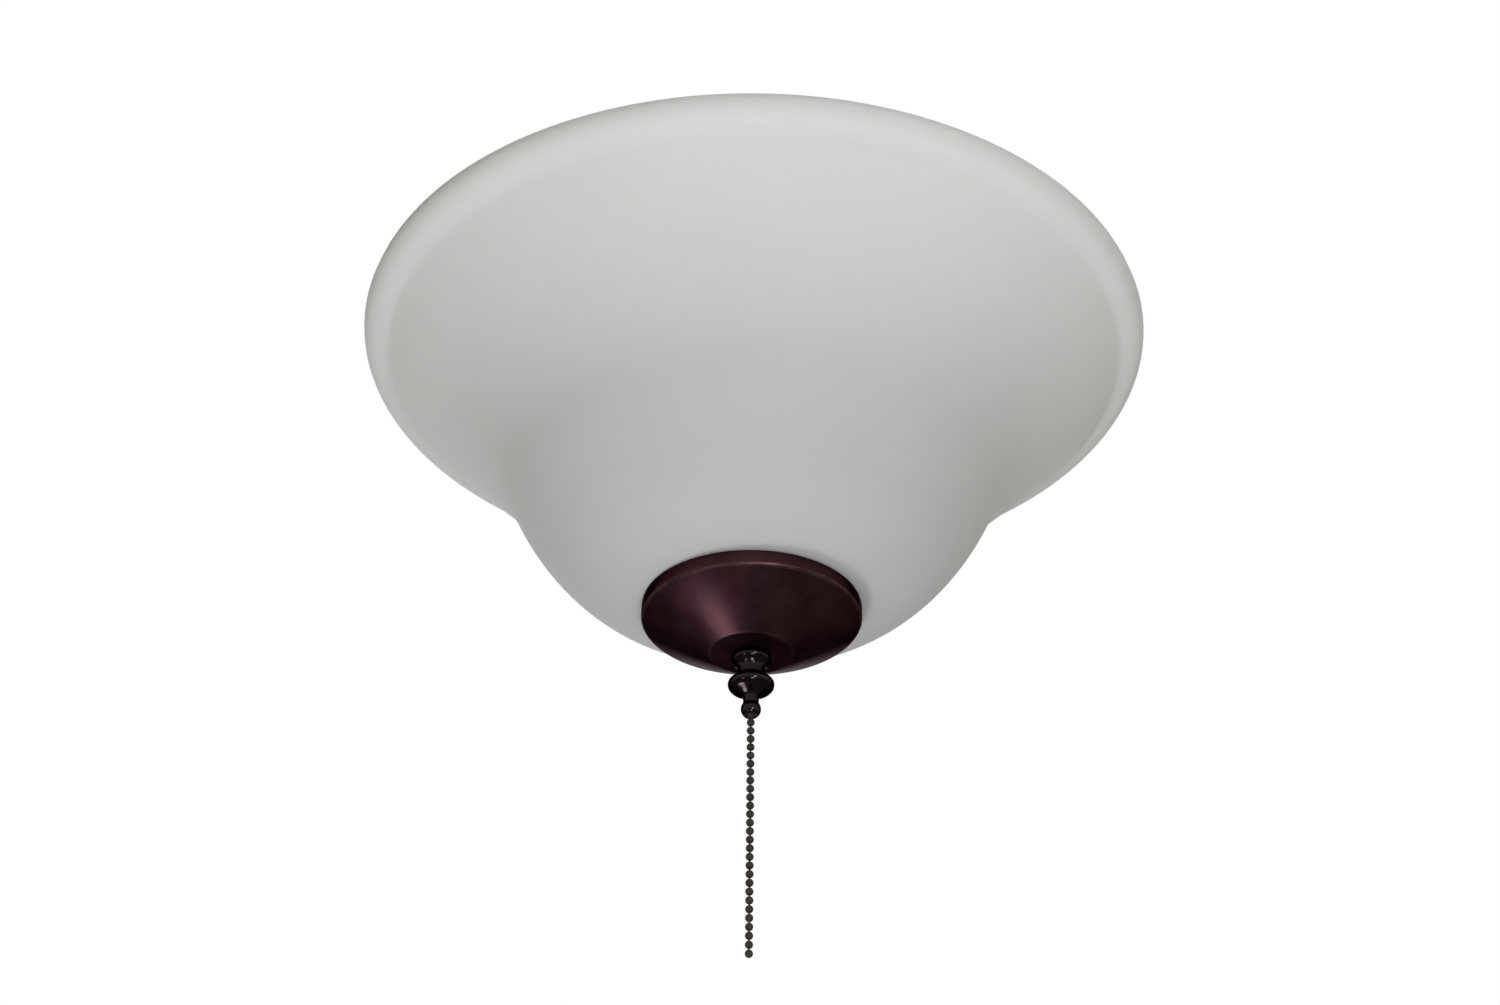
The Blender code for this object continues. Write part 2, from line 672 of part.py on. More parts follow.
def make_drum_chain(steel, axis):
    """The last beads of the chain, which lie round the drum and unwind from it."""
    step = BEAD_PITCH / DRUM_PITCH_RADIUS
    shape = bmesh.new()
    for bead in range(1, DRUM_BEADS + 1):
        angle = math.pi - bead * step
        middle = Vector((math.cos(angle), 0, math.sin(angle))) * DRUM_PITCH_RADIUS
        place = Matrix.Translation(middle)
        bmesh.ops.create_uvsphere(
            shape, u_segments=BEAD_SIDES, v_segments=4, radius=BEAD_RADIUS, matrix=place
        )
    beads = mesh_of("drum_chain", shape)
    chain = add_object("drum_chain", beads, steel, parent=axis)
    for link in range(1, DRUM_BEADS):
        angle = math.pi - (link + 1 / 2) * step
        reach = DRUM_PITCH_RADIUS * math.cos(step / 2)
        at = Vector((DRUM_X, 0, DRUM_Z)) + Vector((math.cos(angle), 0, math.sin(angle))) * reach
        turn = (0, -angle, 0)
        name = f"drum_shank_{link}"
        half = BEAD_PITCH / 2
        tool = round_cutter(name, 2 * SHANK_RADIUS, -half, half, at, turn, BEAD_SIDES)
        combine(chain, tool, "UNION")


def make_return_spring(spring_steel):
    """A flat spiral spring beside the drum, from the axle out to the case's wall."""
    inner = AXLE_RADIUS + FIT_GAP + SPRING_WIRE_RADIUS
    outer = CASE_RADIUS - CASE_WALL - FIT_GAP - SPRING_WIRE_RADIUS
    along = -DRUM_HALF_WIDTH - FIT_GAP - SPRING_WIRE_RADIUS
    curve = bpy.data.curves.new("return_spring", "CURVE")
    curve.dimensions = "3D"
    curve.bevel_depth = SPRING_WIRE_RADIUS
    curve.bevel_resolution = 0
    curve.use_fill_caps = True
    steps = ROUND_SIDES * SPRING_TURNS
    spline = curve.splines.new("POLY")
    spline.points.add(steps)
    for index, point in enumerate(spline.points):
        angle = SPRING_ANCHOR_ANGLE + math.tau * index / ROUND_SIDES
        reach = inner + (outer - inner) * index / steps
        point.co = (reach * math.cos(angle), 0, reach * math.sin(angle), 1)
    add_object("return_spring", curve, spring_steel, at=(DRUM_X, along, DRUM_Z))


def box(name, low, high):
    """A mesh block between two corners."""
    shape = bmesh.new()
    size = Vector(high) - Vector(low)
    middle = (Vector(high) + Vector(low)) / 2
    place = Matrix.Translation(middle) @ Matrix.Diagonal((*size, 1))
    bmesh.ops.create_cube(shape, size=1, matrix=place)
    return mesh_of(name, shape)


def make_switch_contacts(case, brass, phenolic):
    """The contact rotor beside the drum, and two terminals that stand out through the case."""
    rotor_start = DRUM_HALF_WIDTH + FIT_GAP
    hole = AXLE_RADIUS + FIT_GAP
    outline = ring_outline(hole, ROTOR_RADIUS, 0, ROTOR_THICKNESS)
    turned("contact_rotor", outline, ROUND_SIDES, phenolic, **switch_place(rotor_start))
    middle = rotor_start + ROTOR_THICKNESS / 2
    inner_end = ROTOR_RADIUS + FIT_GAP
    outer_end = CASE_RADIUS + TERMINAL_OUT
    for number, side in enumerate((1, -1), 1):
        centre = Vector((DRUM_X, middle, DRUM_Z + side * TERMINAL_APART / 2))
        half = Vector((0, TERMINAL_THICKNESS / 2, TERMINAL_WIDTH / 2))
        low = centre - half + Vector((inner_end, 0, 0))
        high = centre + half + Vector((outer_end, 0, 0))
        name = f"terminal_{number}"
        add_object(name, box(name, low, high), brass)
        room = Vector((0, FIT_GAP, FIT_GAP))
        slot_name = f"terminal_slot_cutter_{number}"
        combine(case, hidden_tool(slot_name, box(slot_name, low - room, high + room)))


def make_drum_axle(steel):
    half = CASE_WIDTH / 2 + FIT_GAP
    outline = [(0, -half), (AXLE_RADIUS, -half), (AXLE_RADIUS, half), (0, half)]
    turned("drum_axle", outline, SMALL_SIDES, steel, **switch_place(0))


def make_socket(number, angle, finishes):
    place = {"at": (0, 0, SOCKET_Z), "turn": outwards(angle)}
    make_hollow_bolt(number, place, finishes["zinc"])
    make_socket_body(number, place, finishes["porcelain"])
    make_screw_shell(number, place, finishes["brass"])
    make_centre_contact(number, place, finishes["brass"])
    make_bulb(number, place, finishes)


def make_hollow_bolt(number, place, zinc):
    """A hollow bolt with a round washer head: its bore lets the leads through to the socket."""
    head_end = WALL_AT_HEAD - FIT_GAP
    head_start = head_end - HOLLOW_BOLT_HEAD
    end = SOCKET_BACK + HOLLOW_BOLT_IN_SOCKET
    outline = [
        (HOLLOW_BOLT_BORE, head_start),
        (HOLLOW_BOLT_HEAD_RADIUS, head_start),
        (HOLLOW_BOLT_HEAD_RADIUS, head_end),
        (HOLLOW_BOLT_RADIUS, head_end),
        (HOLLOW_BOLT_RADIUS, end),
        (HOLLOW_BOLT_BORE, end),
    ]
    turned(f"hollow_bolt_{number}", outline, ROUND_SIDES, zinc, **place)


def make_socket_body(number, place, porcelain):
    bore = HOLLOW_BOLT_RADIUS + FIT_GAP
    neck_end = SOCKET_BACK + SOCKET_NECK_LENGTH
    barrel_start = neck_end + SOCKET_SHOULDER_LENGTH
    end = SOCKET_BACK + SOCKET_LENGTH
    inside = SOCKET_RADIUS - SOCKET_WALL
    outline = [
        (bore, SOCKET_BACK),
        (SOCKET_NECK_RADIUS, SOCKET_BACK),
        (SOCKET_NECK_RADIUS, neck_end),
        (SOCKET_RADIUS, barrel_start),
        (SOCKET_RADIUS, end - SOCKET_LIP),
        (SOCKET_RADIUS - SOCKET_LIP, end),
        (inside, end),
        (inside, SOCKET_SEAT),
        (bore, SOCKET_SEAT),
    ]
    turned(f"socket_body_{number}", outline, ROUND_SIDES, porcelain, **place)


def make_screw_shell(number, place, brass):
    start = SOCKET_SEAT + FIT_GAP
    inside = SHELL_RADIUS - SHELL_WALL
    outline = [
        (SHELL_FLOOR_HOLE, start),
        (SHELL_RADIUS, start),
        (SHELL_RADIUS, start + SHELL_LENGTH),
        (inside, start + SHELL_LENGTH),
        (inside, start + SHELL_WALL),
        (SHELL_FLOOR_HOLE, start + SHELL_WALL),
    ]
    turned(f"screw_shell_{number}", outline, ROUND_SIDES, brass, **place)


def make_centre_contact(number, place, brass):
    """A bent brass strip: its foot lies on the socket's floor and its tongue meets the lamp."""
    foot = SOCKET_SEAT + FIT_GAP
    top = foot + CONTACT_RISE
    sheet = CONTACT_THICKNESS
    side = [
        (-CONTACT_FOOT, foot),
        (-CONTACT_STEP, foot),
        (CONTACT_STEP, top - sheet),
        (CONTACT_WIDTH, top - sheet),
        (CONTACT_WIDTH, top),
        (CONTACT_STEP - sheet, top),
        (-CONTACT_STEP - sheet, foot + sheet),
        (-CONTACT_FOOT, foot + sheet),
    ]
    name = f"centre_contact_{number}"
    add_object(name, strip_mesh(name, side, CONTACT_WIDTH), brass, **place)


def make_bulb(number, place, finishes):
    shell_start = BULB_TIP + BASE_TIP_HEIGHT + BASE_INSULATOR_HEIGHT
    base_end = BULB_TIP + BASE_LENGTH
    inside = BASE_RADIUS - BASE_WALL
    base = [
        (0, BULB_TIP),
        (BASE_TIP_RADIUS, BULB_TIP),
        (BASE_TIP_RADIUS, BULB_TIP + BASE_TIP_HEIGHT),
        (BASE_RADIUS, shell_start),
        (BASE_RADIUS, base_end),
        (inside, base_end),
        (inside, shell_start),
        (0, shell_start),
    ]
    turned(f"lamp_base_{number}", base, ROUND_SIDES, finishes["nickel"], **place)
    centre = BULB_TIP + BULB_LENGTH - BULB_RADIUS
    join = BULB_JOIN_ANGLE
    globe = arc((0, centre), BULB_RADIUS, -join, math.pi / 2, 5)
    slope = Vector((math.cos(join), math.sin(join))) * (BULB_RADIUS / 2)
    bend = (globe[0][0] - slope.y, globe[0][1] - slope.x)
    rise = (BULB_NECK_RADIUS, base_end + (globe[0][1] - base_end) / 2)
    outer = [(BULB_NECK_RADIUS, base_end - BULB_NECK_IN_BASE), (BULB_NECK_RADIUS, base_end)]
    outer += curve_points(outer[-1], rise, bend, globe[0], 3) + globe[1:]
    inner = offset_path(outer, -BULB_WALL)
    outer[-1] = (0, centre + BULB_RADIUS)
    inner[-1] = (0, centre + BULB_RADIUS - BULB_WALL)
    turned(f"bulb_{number}", outer + inner[::-1], ROUND_SIDES, finishes["bulb"], **place)


def level_point(angle, out, across, height):
    """A point at this distance out along an angle and this far across it."""
    x = out * math.cos(angle) - across * math.sin(angle)
    y = out * math.sin(angle) + across * math.cos(angle)
    return Vector((x, y, height))


def smooth_route(knots, steps):
    """Points on a smooth curve through every knot."""
    ends = [knots[0] * 2 - knots[1]] + knots + [knots[-1] * 2 - knots[-2]]
    route = [knots[0]]
    for before, start, end, after in zip(ends, ends[1:], ends[2:], ends[3:]):
        leave = start + (end - before) / 6
        arrive = end - (after - start) / 6
        route += interpolate_bezier(start, leave, arrive, end, steps + 1)[1:]
    return route


def tube_mesh(name, route, radius):
    """A tube with closed ends along a route."""
    shape = bmesh.new()
    rings = []
    for index, place in enumerate(route):
        before = route[max(index - 1, 0)]
        after = route[min(index + 1, len(route) - 1)]
        turn = (after - before).to_track_quat("Z", "Y").to_matrix()
        ring = [place + turn @ Vector((x, y, 0)) for x, y in polygon(radius, LEAD_SIDES)]
        if rings:
            start = rings[-1][0].co
            nearest = min(range(LEAD_SIDES), key=lambda k: (ring[k] - start).length)
            ring = ring[nearest:] + ring[:nearest]
        rings.append([shape.verts.new(corner) for corner in ring])
    for ring, following in zip(rings, rings[1:]):
        for side in range(LEAD_SIDES):
            other = (side + 1) % LEAD_SIDES
            shape.faces.new((ring[side], ring[other], following[other], following[side]))
    shape.faces.new(rings[0][::-1])
    shape.faces.new(rings[-1])
    return mesh_of(name, shape)


def lead_route(start_angle, start_out, turn, lane_out, lane_z, across):
    """A lead's way: down from its connector, round inside the cluster body, out through a bolt."""
    connector_end = -CONNECTOR_TOP_DEPTH - CONNECTOR_LENGTH
    socket_angle = start_angle + turn
    side = math.copysign(1, turn)
    knots = [level_point(start_angle, start_out, 0, connector_end + CONNECTOR_GRIP)]
    knots.append(level_point(start_angle, start_out, 0, connector_end - LEAD_RADIUS))
    last_turn = turn - side * LEAD_LAST_BEND_ANGLE
    bends = max(1, round(abs(last_turn) / LEAD_BEND_ANGLE))
    for bend in range(1, bends + 1):
        angle = start_angle + last_turn * bend / bends
        knots.append(level_point(angle, lane_out, 0, lane_z))
    bolt_start = WALL_AT_HEAD - FIT_GAP - HOLLOW_BOLT_HEAD
    near_out = (lane_out + bolt_start) / 2 - LEAD_RADIUS
    near_across = across - side * LEAD_OFFSET
    near_z = SOCKET_Z + (lane_z - SOCKET_Z) / 4
    knots.append(level_point(socket_angle, near_out, near_across, near_z))
    knots.append(level_point(socket_angle, bolt_start + LEAD_RADIUS, across, SOCKET_Z))
    end_out = SOCKET_SEAT + LEAD_PAST_FLOOR
    knots.append(level_point(socket_angle, end_out, across, SOCKET_Z))
    return smooth_route(knots, 2)


def make_lead_set(name, connector_angle, routes, finish):
    """A twist-on connector with the three leads that it joins, as one piece."""
    low = -CONNECTOR_TOP_DEPTH - CONNECTOR_LENGTH
    outline = [
        (0, low),
        (CONNECTOR_RADIUS, low),
        (CONNECTOR_TIP_RADIUS, -CONNECTOR_TOP_DEPTH),
        (0, -CONNECTOR_TOP_DEPTH),
    ]
    at = level_point(connector_angle, CONNECTOR_OUT, 0, 0)
    connector = turned(name, outline, SMALL_SIDES, finish, at=at)
    for number, route in enumerate(routes, 1):
        tube_name = f"{name}_tube_{number}"
        tube = hidden_tool(tube_name, tube_mesh(tube_name, route, LEAD_RADIUS))
        combine(connector, tube, "UNION")


def make_leads(white, black):
    """Both lead sets. Each passes the others' leads in a lane of its own height."""
    first, second, third = socket_angles()
    high = -LEAD_HIGH_LANE_DEPTH
    middle = -LEAD_MIDDLE_LANE_DEPTH
    low = -LEAD_LOW_LANE_DEPTH
    spread = CONNECTOR_SPREAD_ANGLE
    outer, inner = LEAD_OUTER_LANE, LEAD_INNER_LANE
    offset = LEAD_OFFSET
    white_angle, black_angle = WHITE_CONNECTOR_ANGLE, BLACK_CONNECTOR_ANGLE
    before, after = white_angle - spread, white_angle + spread
    white_routes = [
        lead_route(before, outer, first - before, outer, middle, offset),
        lead_route(after, outer, second - after, outer, middle, -offset),
        lead_route(white_angle, inner, third - white_angle, inner, high, offset),
    ]
    make_lead_set("white_leads", white_angle, white_routes, white)
    before, after = black_angle - spread, black_angle + spread
    under_turn = first + math.tau - black_angle
    black_routes = [
        lead_route(before, outer, second - before, outer, middle, offset),
        lead_route(after, outer, third - after, outer, middle, -offset),
        lead_route(black_angle, outer, under_turn, outer, low, -offset),
    ]
    make_lead_set("black_leads", black_angle, black_routes, black)


def make_stem_group(zinc, rubber):
    tube = ring_outline(STEM_BORE, STEM_RADIUS, STEM_BOTTOM, STEM_TOP)
    turned("centre_stem", tube, ROUND_SIDES, zinc)
    bore = STEM_RADIUS + FIT_GAP
    upper = COVER_TOP + FIT_GAP
    hex_nut("stem_upper_nut", STEM_NUT_FLATS, bore, STEM_NUT_HEIGHT, zinc, at=(0, 0, upper))
    washer_bottom = CLUSTER_BOTTOM - FIT_GAP - SEAT_WASHER_THICKNESS
    washer = ring_outline(bore, STEM_WASHER_RADIUS, 0, SEAT_WASHER_THICKNESS)
    turned("stem_washer", washer, ROUND_SIDES, zinc, at=(0, 0, washer_bottom))
    lower = washer_bottom - FIT_GAP - STEM_NUT_HEIGHT
    hex_nut("stem_lower_nut", STEM_NUT_FLATS, bore, STEM_NUT_HEIGHT, zinc, at=(0, 0, lower))
    stop = (0, 0, STOP_NUT_BOTTOM)
    hex_nut("stop_nut", STEM_NUT_FLATS, bore, STEM_NUT_HEIGHT, zinc, at=stop)
    seat = ring_outline(bore, SEAT_WASHER_RADIUS, 0, SEAT_WASHER_THICKNESS)
    turned("seat_washer", seat, ROUND_SIDES, zinc, at=(0, 0, SEAT_WASHER_BOTTOM))
    gasket = ring_outline(bore, GASKET_RADIUS, 0, GASKET_THICKNESS)
    turned("upper_gasket", gasket, ROUND_SIDES, rubber, at=(0, 0, GASKET_BOTTOM))


def bowl_outer_path():
    """The bowl's outside from its lip's crown to its centre hole, as (radius, height)."""
    crown = (RIM_RADIUS - LIP_OVERHANG, RIM_Z - LIP_CROWN_DEPTH)
    drop = LIP_HEIGHT - LIP_CROWN_DEPTH
    lip = []
    for across, down in quarter_turn(3):
        lip.append((crown[0] + across * LIP_OVERHANG, crown[1] - down * drop))
    crease = lip[-1]
    waist = (WAIST_RADIUS, RIM_Z - WAIST_DEPTH)
    edge = (BASE_EDGE_RADIUS, BASE_EDGE_Z)
    centre = (GLASS_HOLE_RADIUS, BOWL_BOTTOM)
    flare = math.dist(crease, waist)
    belly = math.dist(waist, edge)
    first = FLARE_HANDLE_SHARES[0] * flare
    leave = (
        crease[0] - first * math.sin(FLARE_START_ANGLE),
        crease[1] - first * math.cos(FLARE_START_ANGLE),
    )
    down = (-math.sin(WAIST_ANGLE), -math.cos(WAIST_ANGLE))
    second = FLARE_HANDLE_SHARES[1] * flare
    arrive = (waist[0] - second * down[0], waist[1] - second * down[1])
    third = BELLY_HANDLE_SHARES[0] * belly
    depart = (waist[0] + third * down[0], waist[1] + third * down[1])
    fourth = BELLY_HANDLE_SHARES[1] * belly
    settle = (
        edge[0] + fourth * math.cos(BASE_EDGE_ANGLE),
        edge[1] + fourth * math.sin(BASE_EDGE_ANGLE),
    )
    floor = FLOOR_HANDLE_SHARE * (BASE_EDGE_RADIUS - GLASS_HOLE_RADIUS)
    sink = (
        edge[0] - floor * math.cos(BASE_EDGE_ANGLE),
        edge[1] - floor * math.sin(BASE_EDGE_ANGLE),
    )
    level = (centre[0] + floor, centre[1])
    path = lip
    path += curve_points(crease, leave, arrive, waist, 4)
    path += curve_points(waist, depart, settle, edge, 5)
    path += curve_points(edge, sink, level, centre, 2)
    return path


def make_glass_bowl(glass, axis):
    outer = bowl_outer_path()
    inner = offset_path(outer, GLASS_WALL)
    inner[-1] = (GLASS_HOLE_RADIUS, GLASS_FLOOR)
    rim = [
        (RIM_RADIUS - GLASS_WALL, RIM_Z),
        (RIM_RADIUS - LIP_EDGE_ROUND, RIM_Z),
    ]
    outline = [(radius, height - axis.location.z) for radius, height in rim + outer + inner[::-1]]
    return turned("glass_bowl", outline, BOWL_SIDES, glass, parent=axis)


def make_retaining_cap(bronze, rubber, axis):
    """A shallow spun cap: its rim meets the glass and its flat centre rests on the finial."""
    rim_bottom = CAP_TOP - CAP_RIM_HEIGHT
    hole = STEM_RADIUS + FIT_GAP
    outer = [
        (CAP_RADIUS, CAP_TOP),
        (CAP_RADIUS, rim_bottom + CAP_EDGE_ROUND),
        (CAP_RADIUS - CAP_EDGE_ROUND, rim_bottom),
        (CAP_FLAT_RADIUS, CAP_BOTTOM),
        (hole, CAP_BOTTOM),
    ]
    slope = (rim_bottom - CAP_BOTTOM) / (CAP_RADIUS - CAP_EDGE_ROUND - CAP_FLAT_RADIUS)
    inside = CAP_RADIUS - CAP_WALL
    inner_flat = CAP_BOTTOM + CAP_WALL
    inner_corner = inner_flat + slope * (inside - CAP_FLAT_RADIUS)
    inner = [
        (inside, CAP_TOP),
        (inside, inner_corner),
        (CAP_FLAT_RADIUS, inner_flat),
        (hole, inner_flat),
    ]
    raised = -axis.location.z
    outline = [(radius, height + raised) for radius, height in outer + inner[::-1]]
    turned("retaining_cap", outline, WIDE_SIDES, bronze, parent=axis)
    ring_outside = inside - FIT_GAP
    ring_inside = ring_outside - CAP_GASKET_WIDTH
    ring = ring_outline(ring_inside, ring_outside, inner_corner + FIT_GAP, CAP_TOP - FIT_GAP)
    outline = [(radius, height + raised) for radius, height in ring]
    turned("cap_gasket", outline, WIDE_SIDES, rubber, parent=axis)


def finial_outline():
    """The finial's section, its own top face at zero: outside first, then the stepped bore."""
    bead = FINIAL_COLLAR_ROUNDING
    middle = (FINIAL_COLLAR_RADIUS - bead, -FINIAL_COLLAR_DEPTH)
    top = math.asin(FINIAL_COLLAR_DEPTH / bead)
    outer = arc(middle, bead, top, -FINIAL_COLLAR_END_ANGLE, 5)
    neck = (FINIAL_NECK_RADIUS, -FINIAL_NECK_DEPTH)
    cove = (neck[0], (outer[-1][1] + neck[1]) / 2)
    outer += curve_points(outer[-1], cove, cove, neck, 2)
    shoulder = FINIAL_SHOULDER_ROUNDING
    middle = (FINIAL_URN_RADIUS - shoulder, -FINIAL_URN_DEPTH)
    urn = arc(middle, shoulder, FINIAL_SHOULDER_ANGLE, 0, 3)
    fall = neck[1] - urn[0][1]
    outer += curve_points(neck, (neck[0], neck[1] - fall), (neck[0], urn[0][1]), urn[0], 3)
    band = FINIAL_BAND_ROUNDING
    middle = (FINIAL_URN_RADIUS - band, -FINIAL_URN_DEPTH)
    urn += arc(middle, band, 0, -FINIAL_CREASE_ANGLE, 3)[1:]
    outer += urn[1:]
    crease = (urn[-1][0] - FINIAL_CREASE_CUT, urn[-1][1] - FINIAL_CREASE_CUT / 2)
    waist = (FINIAL_WAIST_RADIUS, -FINIAL_WAIST_DEPTH)
    fall = crease[1] - waist[1]
    inset = (crease[0] - waist[0]) / 2
    leave = (crease[0] - inset / 8, crease[1] - fall / 4)
    arrive = (waist[0] + inset / 2, waist[1] + fall * 2 / 5)
    outer += [crease] + curve_points(crease, leave, arrive, waist, 5)
    ball = (0, -FINIAL_BALL_DEPTH)
    top = math.acos(FINIAL_WAIST_RADIUS / FINIAL_BALL_RADIUS)
    mouth = math.acos((FINIAL_BORE + FIT_GAP) / FINIAL_BALL_RADIUS)
    outer += arc(ball, FINIAL_BALL_RADIUS, top, -mouth, 6)
    thread = STEM_RADIUS + FIT_GAP
    bore = [
        (FINIAL_BORE, outer[-1][1]),
        (FINIAL_BORE, -FINIAL_THREAD_DEPTH),
        (thread, -FINIAL_THREAD_DEPTH),
        (thread, 0),
    ]
    return outer + bore


def make_finial(bronze, axis):
    turned("finial", finial_outline(), FINIAL_SIDES, bronze, parent=axis)


def make_chain(steel, bead_axis, link_axis, lower_axis):
    """The chain in its three moving stretches: upper, the link that swings, and the free end."""
    outline = bead_chain_outline(PIVOT_BEAD + 1, open_bottom=True)
    turned("chain_upper", outline, BEAD_SIDES, steel, parent=bead_axis)
    head = SHANK_HEAD_RADIUS
    pole = math.asin(SHANK_RADIUS / head)
    link = [(0, head)]
    link += arc((0, 0), head, math.pi / 4, pole - math.pi / 2, 3)
    link += arc((0, -BEAD_PITCH), head, math.pi / 2 - pole, -math.pi / 4, 3)
    link.append((0, -BEAD_PITCH - head))
    turned("chain_link", link, BEAD_SIDES, steel, parent=link_axis)
    outline = bead_chain_outline(FREE_BEADS, open_top=True)
    turned("chain_lower", outline, BEAD_SIDES, steel, parent=lower_axis)


def make_all():
    clear_scene()
    finishes = {
        "bronze": material("oil_rubbed_bronze", (0.036, 0.017, 0.015), 0.38, 0.6),
        "glass": material("frosted_glass", (0.62, 0.62, 0.60), 0.45),
        "steel": material("painted_steel", (0.03, 0.016, 0.014), 0.45, 0.4),
        "zinc": material("zinc_plate", (0.55, 0.55, 0.53), 0.35, 0.9),
        "brass": material("brass", (0.60, 0.44, 0.18), 0.32, 0.9),
        "nickel": material("nickel_plate", (0.62, 0.60, 0.56), 0.3, 0.9),
        "porcelain": material("porcelain", (0.80, 0.79, 0.74), 0.25),
        "phenolic": material("black_phenolic", (0.02, 0.02, 0.02), 0.5),
        "nylon": material("nylon", (0.75, 0.73, 0.66), 0.5),
        "rubber": material("rubber", (0.03, 0.03, 0.03), 0.8),
        "bulb": material("frosted_bulb", (0.85, 0.85, 0.82), 0.5),
        "chain": material("bronze_chain", (0.045, 0.035, 0.028), 0.35, 0.8),
        "spring": material("spring_steel", (0.35, 0.35, 0.36), 0.35, 0.9),
        "white_lead": material("white_lead", (0.75, 0.74, 0.70), 0.5),
        "black_lead": material("black_lead", (0.02, 0.02, 0.02), 0.5),
    }
    make_fitter_pan(finishes["steel"])
    make_nipple_group(finishes["zinc"])
    body = make_cluster_body(finishes["steel"])
    cover = make_cluster_cover(finishes["steel"])
    make_cover_screws(body, cover, finishes["zinc"])
    make_switch_bracket(finishes["zinc"])
    case = make_switch_case(finishes["phenolic"])
    make_switch_bush(finishes["brass"], finishes["zinc"])
    drum_axis = empty("drum_axis", (DRUM_X, 0, DRUM_Z))
    make_switch_drum(finishes["nylon"], drum_axis)
    make_drum_chain(finishes["chain"], drum_axis)
    make_return_spring(finishes["spring"])
    make_switch_contacts(case, finishes["brass"], finishes["phenolic"])
    make_drum_axle(finishes["spring"])
    for number, angle in enumerate(socket_angles(), 1):
        make_socket(number, angle, finishes)
    make_leads(finishes["white_lead"], finishes["black_lead"])
    make_stem_group(finishes["zinc"], finishes["rubber"])
    bowl_axis = empty("bowl_axis", (0, 0, CAP_TOP))
    make_glass_bowl(finishes["glass"], bowl_axis)
    make_retaining_cap(finishes["bronze"], finishes["rubber"], bowl_axis)
    finial_axis = empty("finial_axis", (0, 0, FINIAL_TOP))
    make_finial(finishes["bronze"], finial_axis)
    chain_axis = empty("chain_axis", (0, 0, DRUM_Z))
    link_axis = empty("link_axis", (0, 0, PIVOT_Z))
    lower_axis = empty("lower_chain_axis", (0, 0, LINK_Z))
    make_chain(finishes["chain"], chain_axis, link_axis, lower_axis)


make_all()
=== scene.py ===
import math

import bmesh
import bpy
from mathutils import Matrix, Vector
from mathutils.geometry import interpolate_bezier


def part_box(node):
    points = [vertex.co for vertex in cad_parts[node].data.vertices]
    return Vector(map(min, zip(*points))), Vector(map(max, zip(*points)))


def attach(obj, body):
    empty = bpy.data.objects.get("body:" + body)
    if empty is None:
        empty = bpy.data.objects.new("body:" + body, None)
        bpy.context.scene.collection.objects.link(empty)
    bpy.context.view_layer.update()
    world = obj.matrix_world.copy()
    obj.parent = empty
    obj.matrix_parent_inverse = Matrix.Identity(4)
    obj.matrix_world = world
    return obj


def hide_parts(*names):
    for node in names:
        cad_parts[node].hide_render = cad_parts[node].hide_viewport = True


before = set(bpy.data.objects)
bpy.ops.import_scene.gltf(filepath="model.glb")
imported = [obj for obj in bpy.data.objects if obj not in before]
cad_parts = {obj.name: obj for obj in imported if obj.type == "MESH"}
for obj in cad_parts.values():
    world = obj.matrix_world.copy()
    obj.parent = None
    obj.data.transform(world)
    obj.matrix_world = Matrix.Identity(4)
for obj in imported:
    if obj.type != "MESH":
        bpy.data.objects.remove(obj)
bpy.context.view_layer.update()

CAMERA_PLACE = (0.0, -0.9893, -0.7381)
CAMERA_TILT = math.radians(90 + 32.876)
CAMERA_ROLL = math.radians(0.466)
FOCAL_LENGTH = 68.64
SENSOR_WIDTH = 36
LENS_SHIFT = -0.0017

lens = bpy.data.cameras.new("camera")
lens.lens = FOCAL_LENGTH
lens.sensor_width = SENSOR_WIDTH
lens.shift_x = LENS_SHIFT
camera = bpy.data.objects.new("camera", lens)
bpy.context.scene.collection.objects.link(camera)
camera.location = CAMERA_PLACE
tilt = Matrix.Rotation(CAMERA_TILT, 3, "X") @ Matrix.Rotation(CAMERA_ROLL, 3, "Z")
camera.rotation_euler = tilt.to_euler()
bpy.context.scene.camera = camera
bpy.context.scene.view_settings.view_transform = "Standard"

# Studio: a white room with even light of its own, and five lamps: a broad one above, soft ones
# beside the camera and low on the left, and small ones in front on the right and on the left.
OBJECT_MIDDLE = Vector((0, 0, -0.09))
ROOM_LIGHT = 0.20
ROOM_COLOUR = (1.0, 0.985, 0.84, 1)
WHITE = (1, 1, 1, 1)
LAMPS = [
    ("top_lamp", (0.1, 0.2, 1.0), 1.6, 1.5, 5.0, (0.97, 0.98, 1.04)),
    ("camera_side_lamp", (0.10, -0.75, -0.62), 1.6, 0.35, 5.8, (0.99, 0.98, 1.08)),
    ("front_lamp", (0.34, -0.90, -0.28), 1.5, 0.27, 6.7, (0.98, 0.985, 1.07)),
    ("left_lamp", (-0.39, 0.21, -0.89), 1.5, 0.36, 5.4, (0.95, 0.985, 1.08)),
    ("left_front_lamp", (-0.55, -0.62, -0.56), 1.5, 0.27, 1.8, (0.96, 0.98, 1.06)),
]


def math_node(tree, operation, *values, clamp=False):
    """A math node fed by sockets or plain numbers; gives its result's socket."""
    node = tree.nodes.new("ShaderNodeMath")
    node.operation = operation
    node.use_clamp = clamp
    for socket, value in zip(node.inputs, values):
        if isinstance(value, (int, float)):
            socket.default_value = value
        else:
            tree.links.new(value, socket)
    return node.outputs[0]


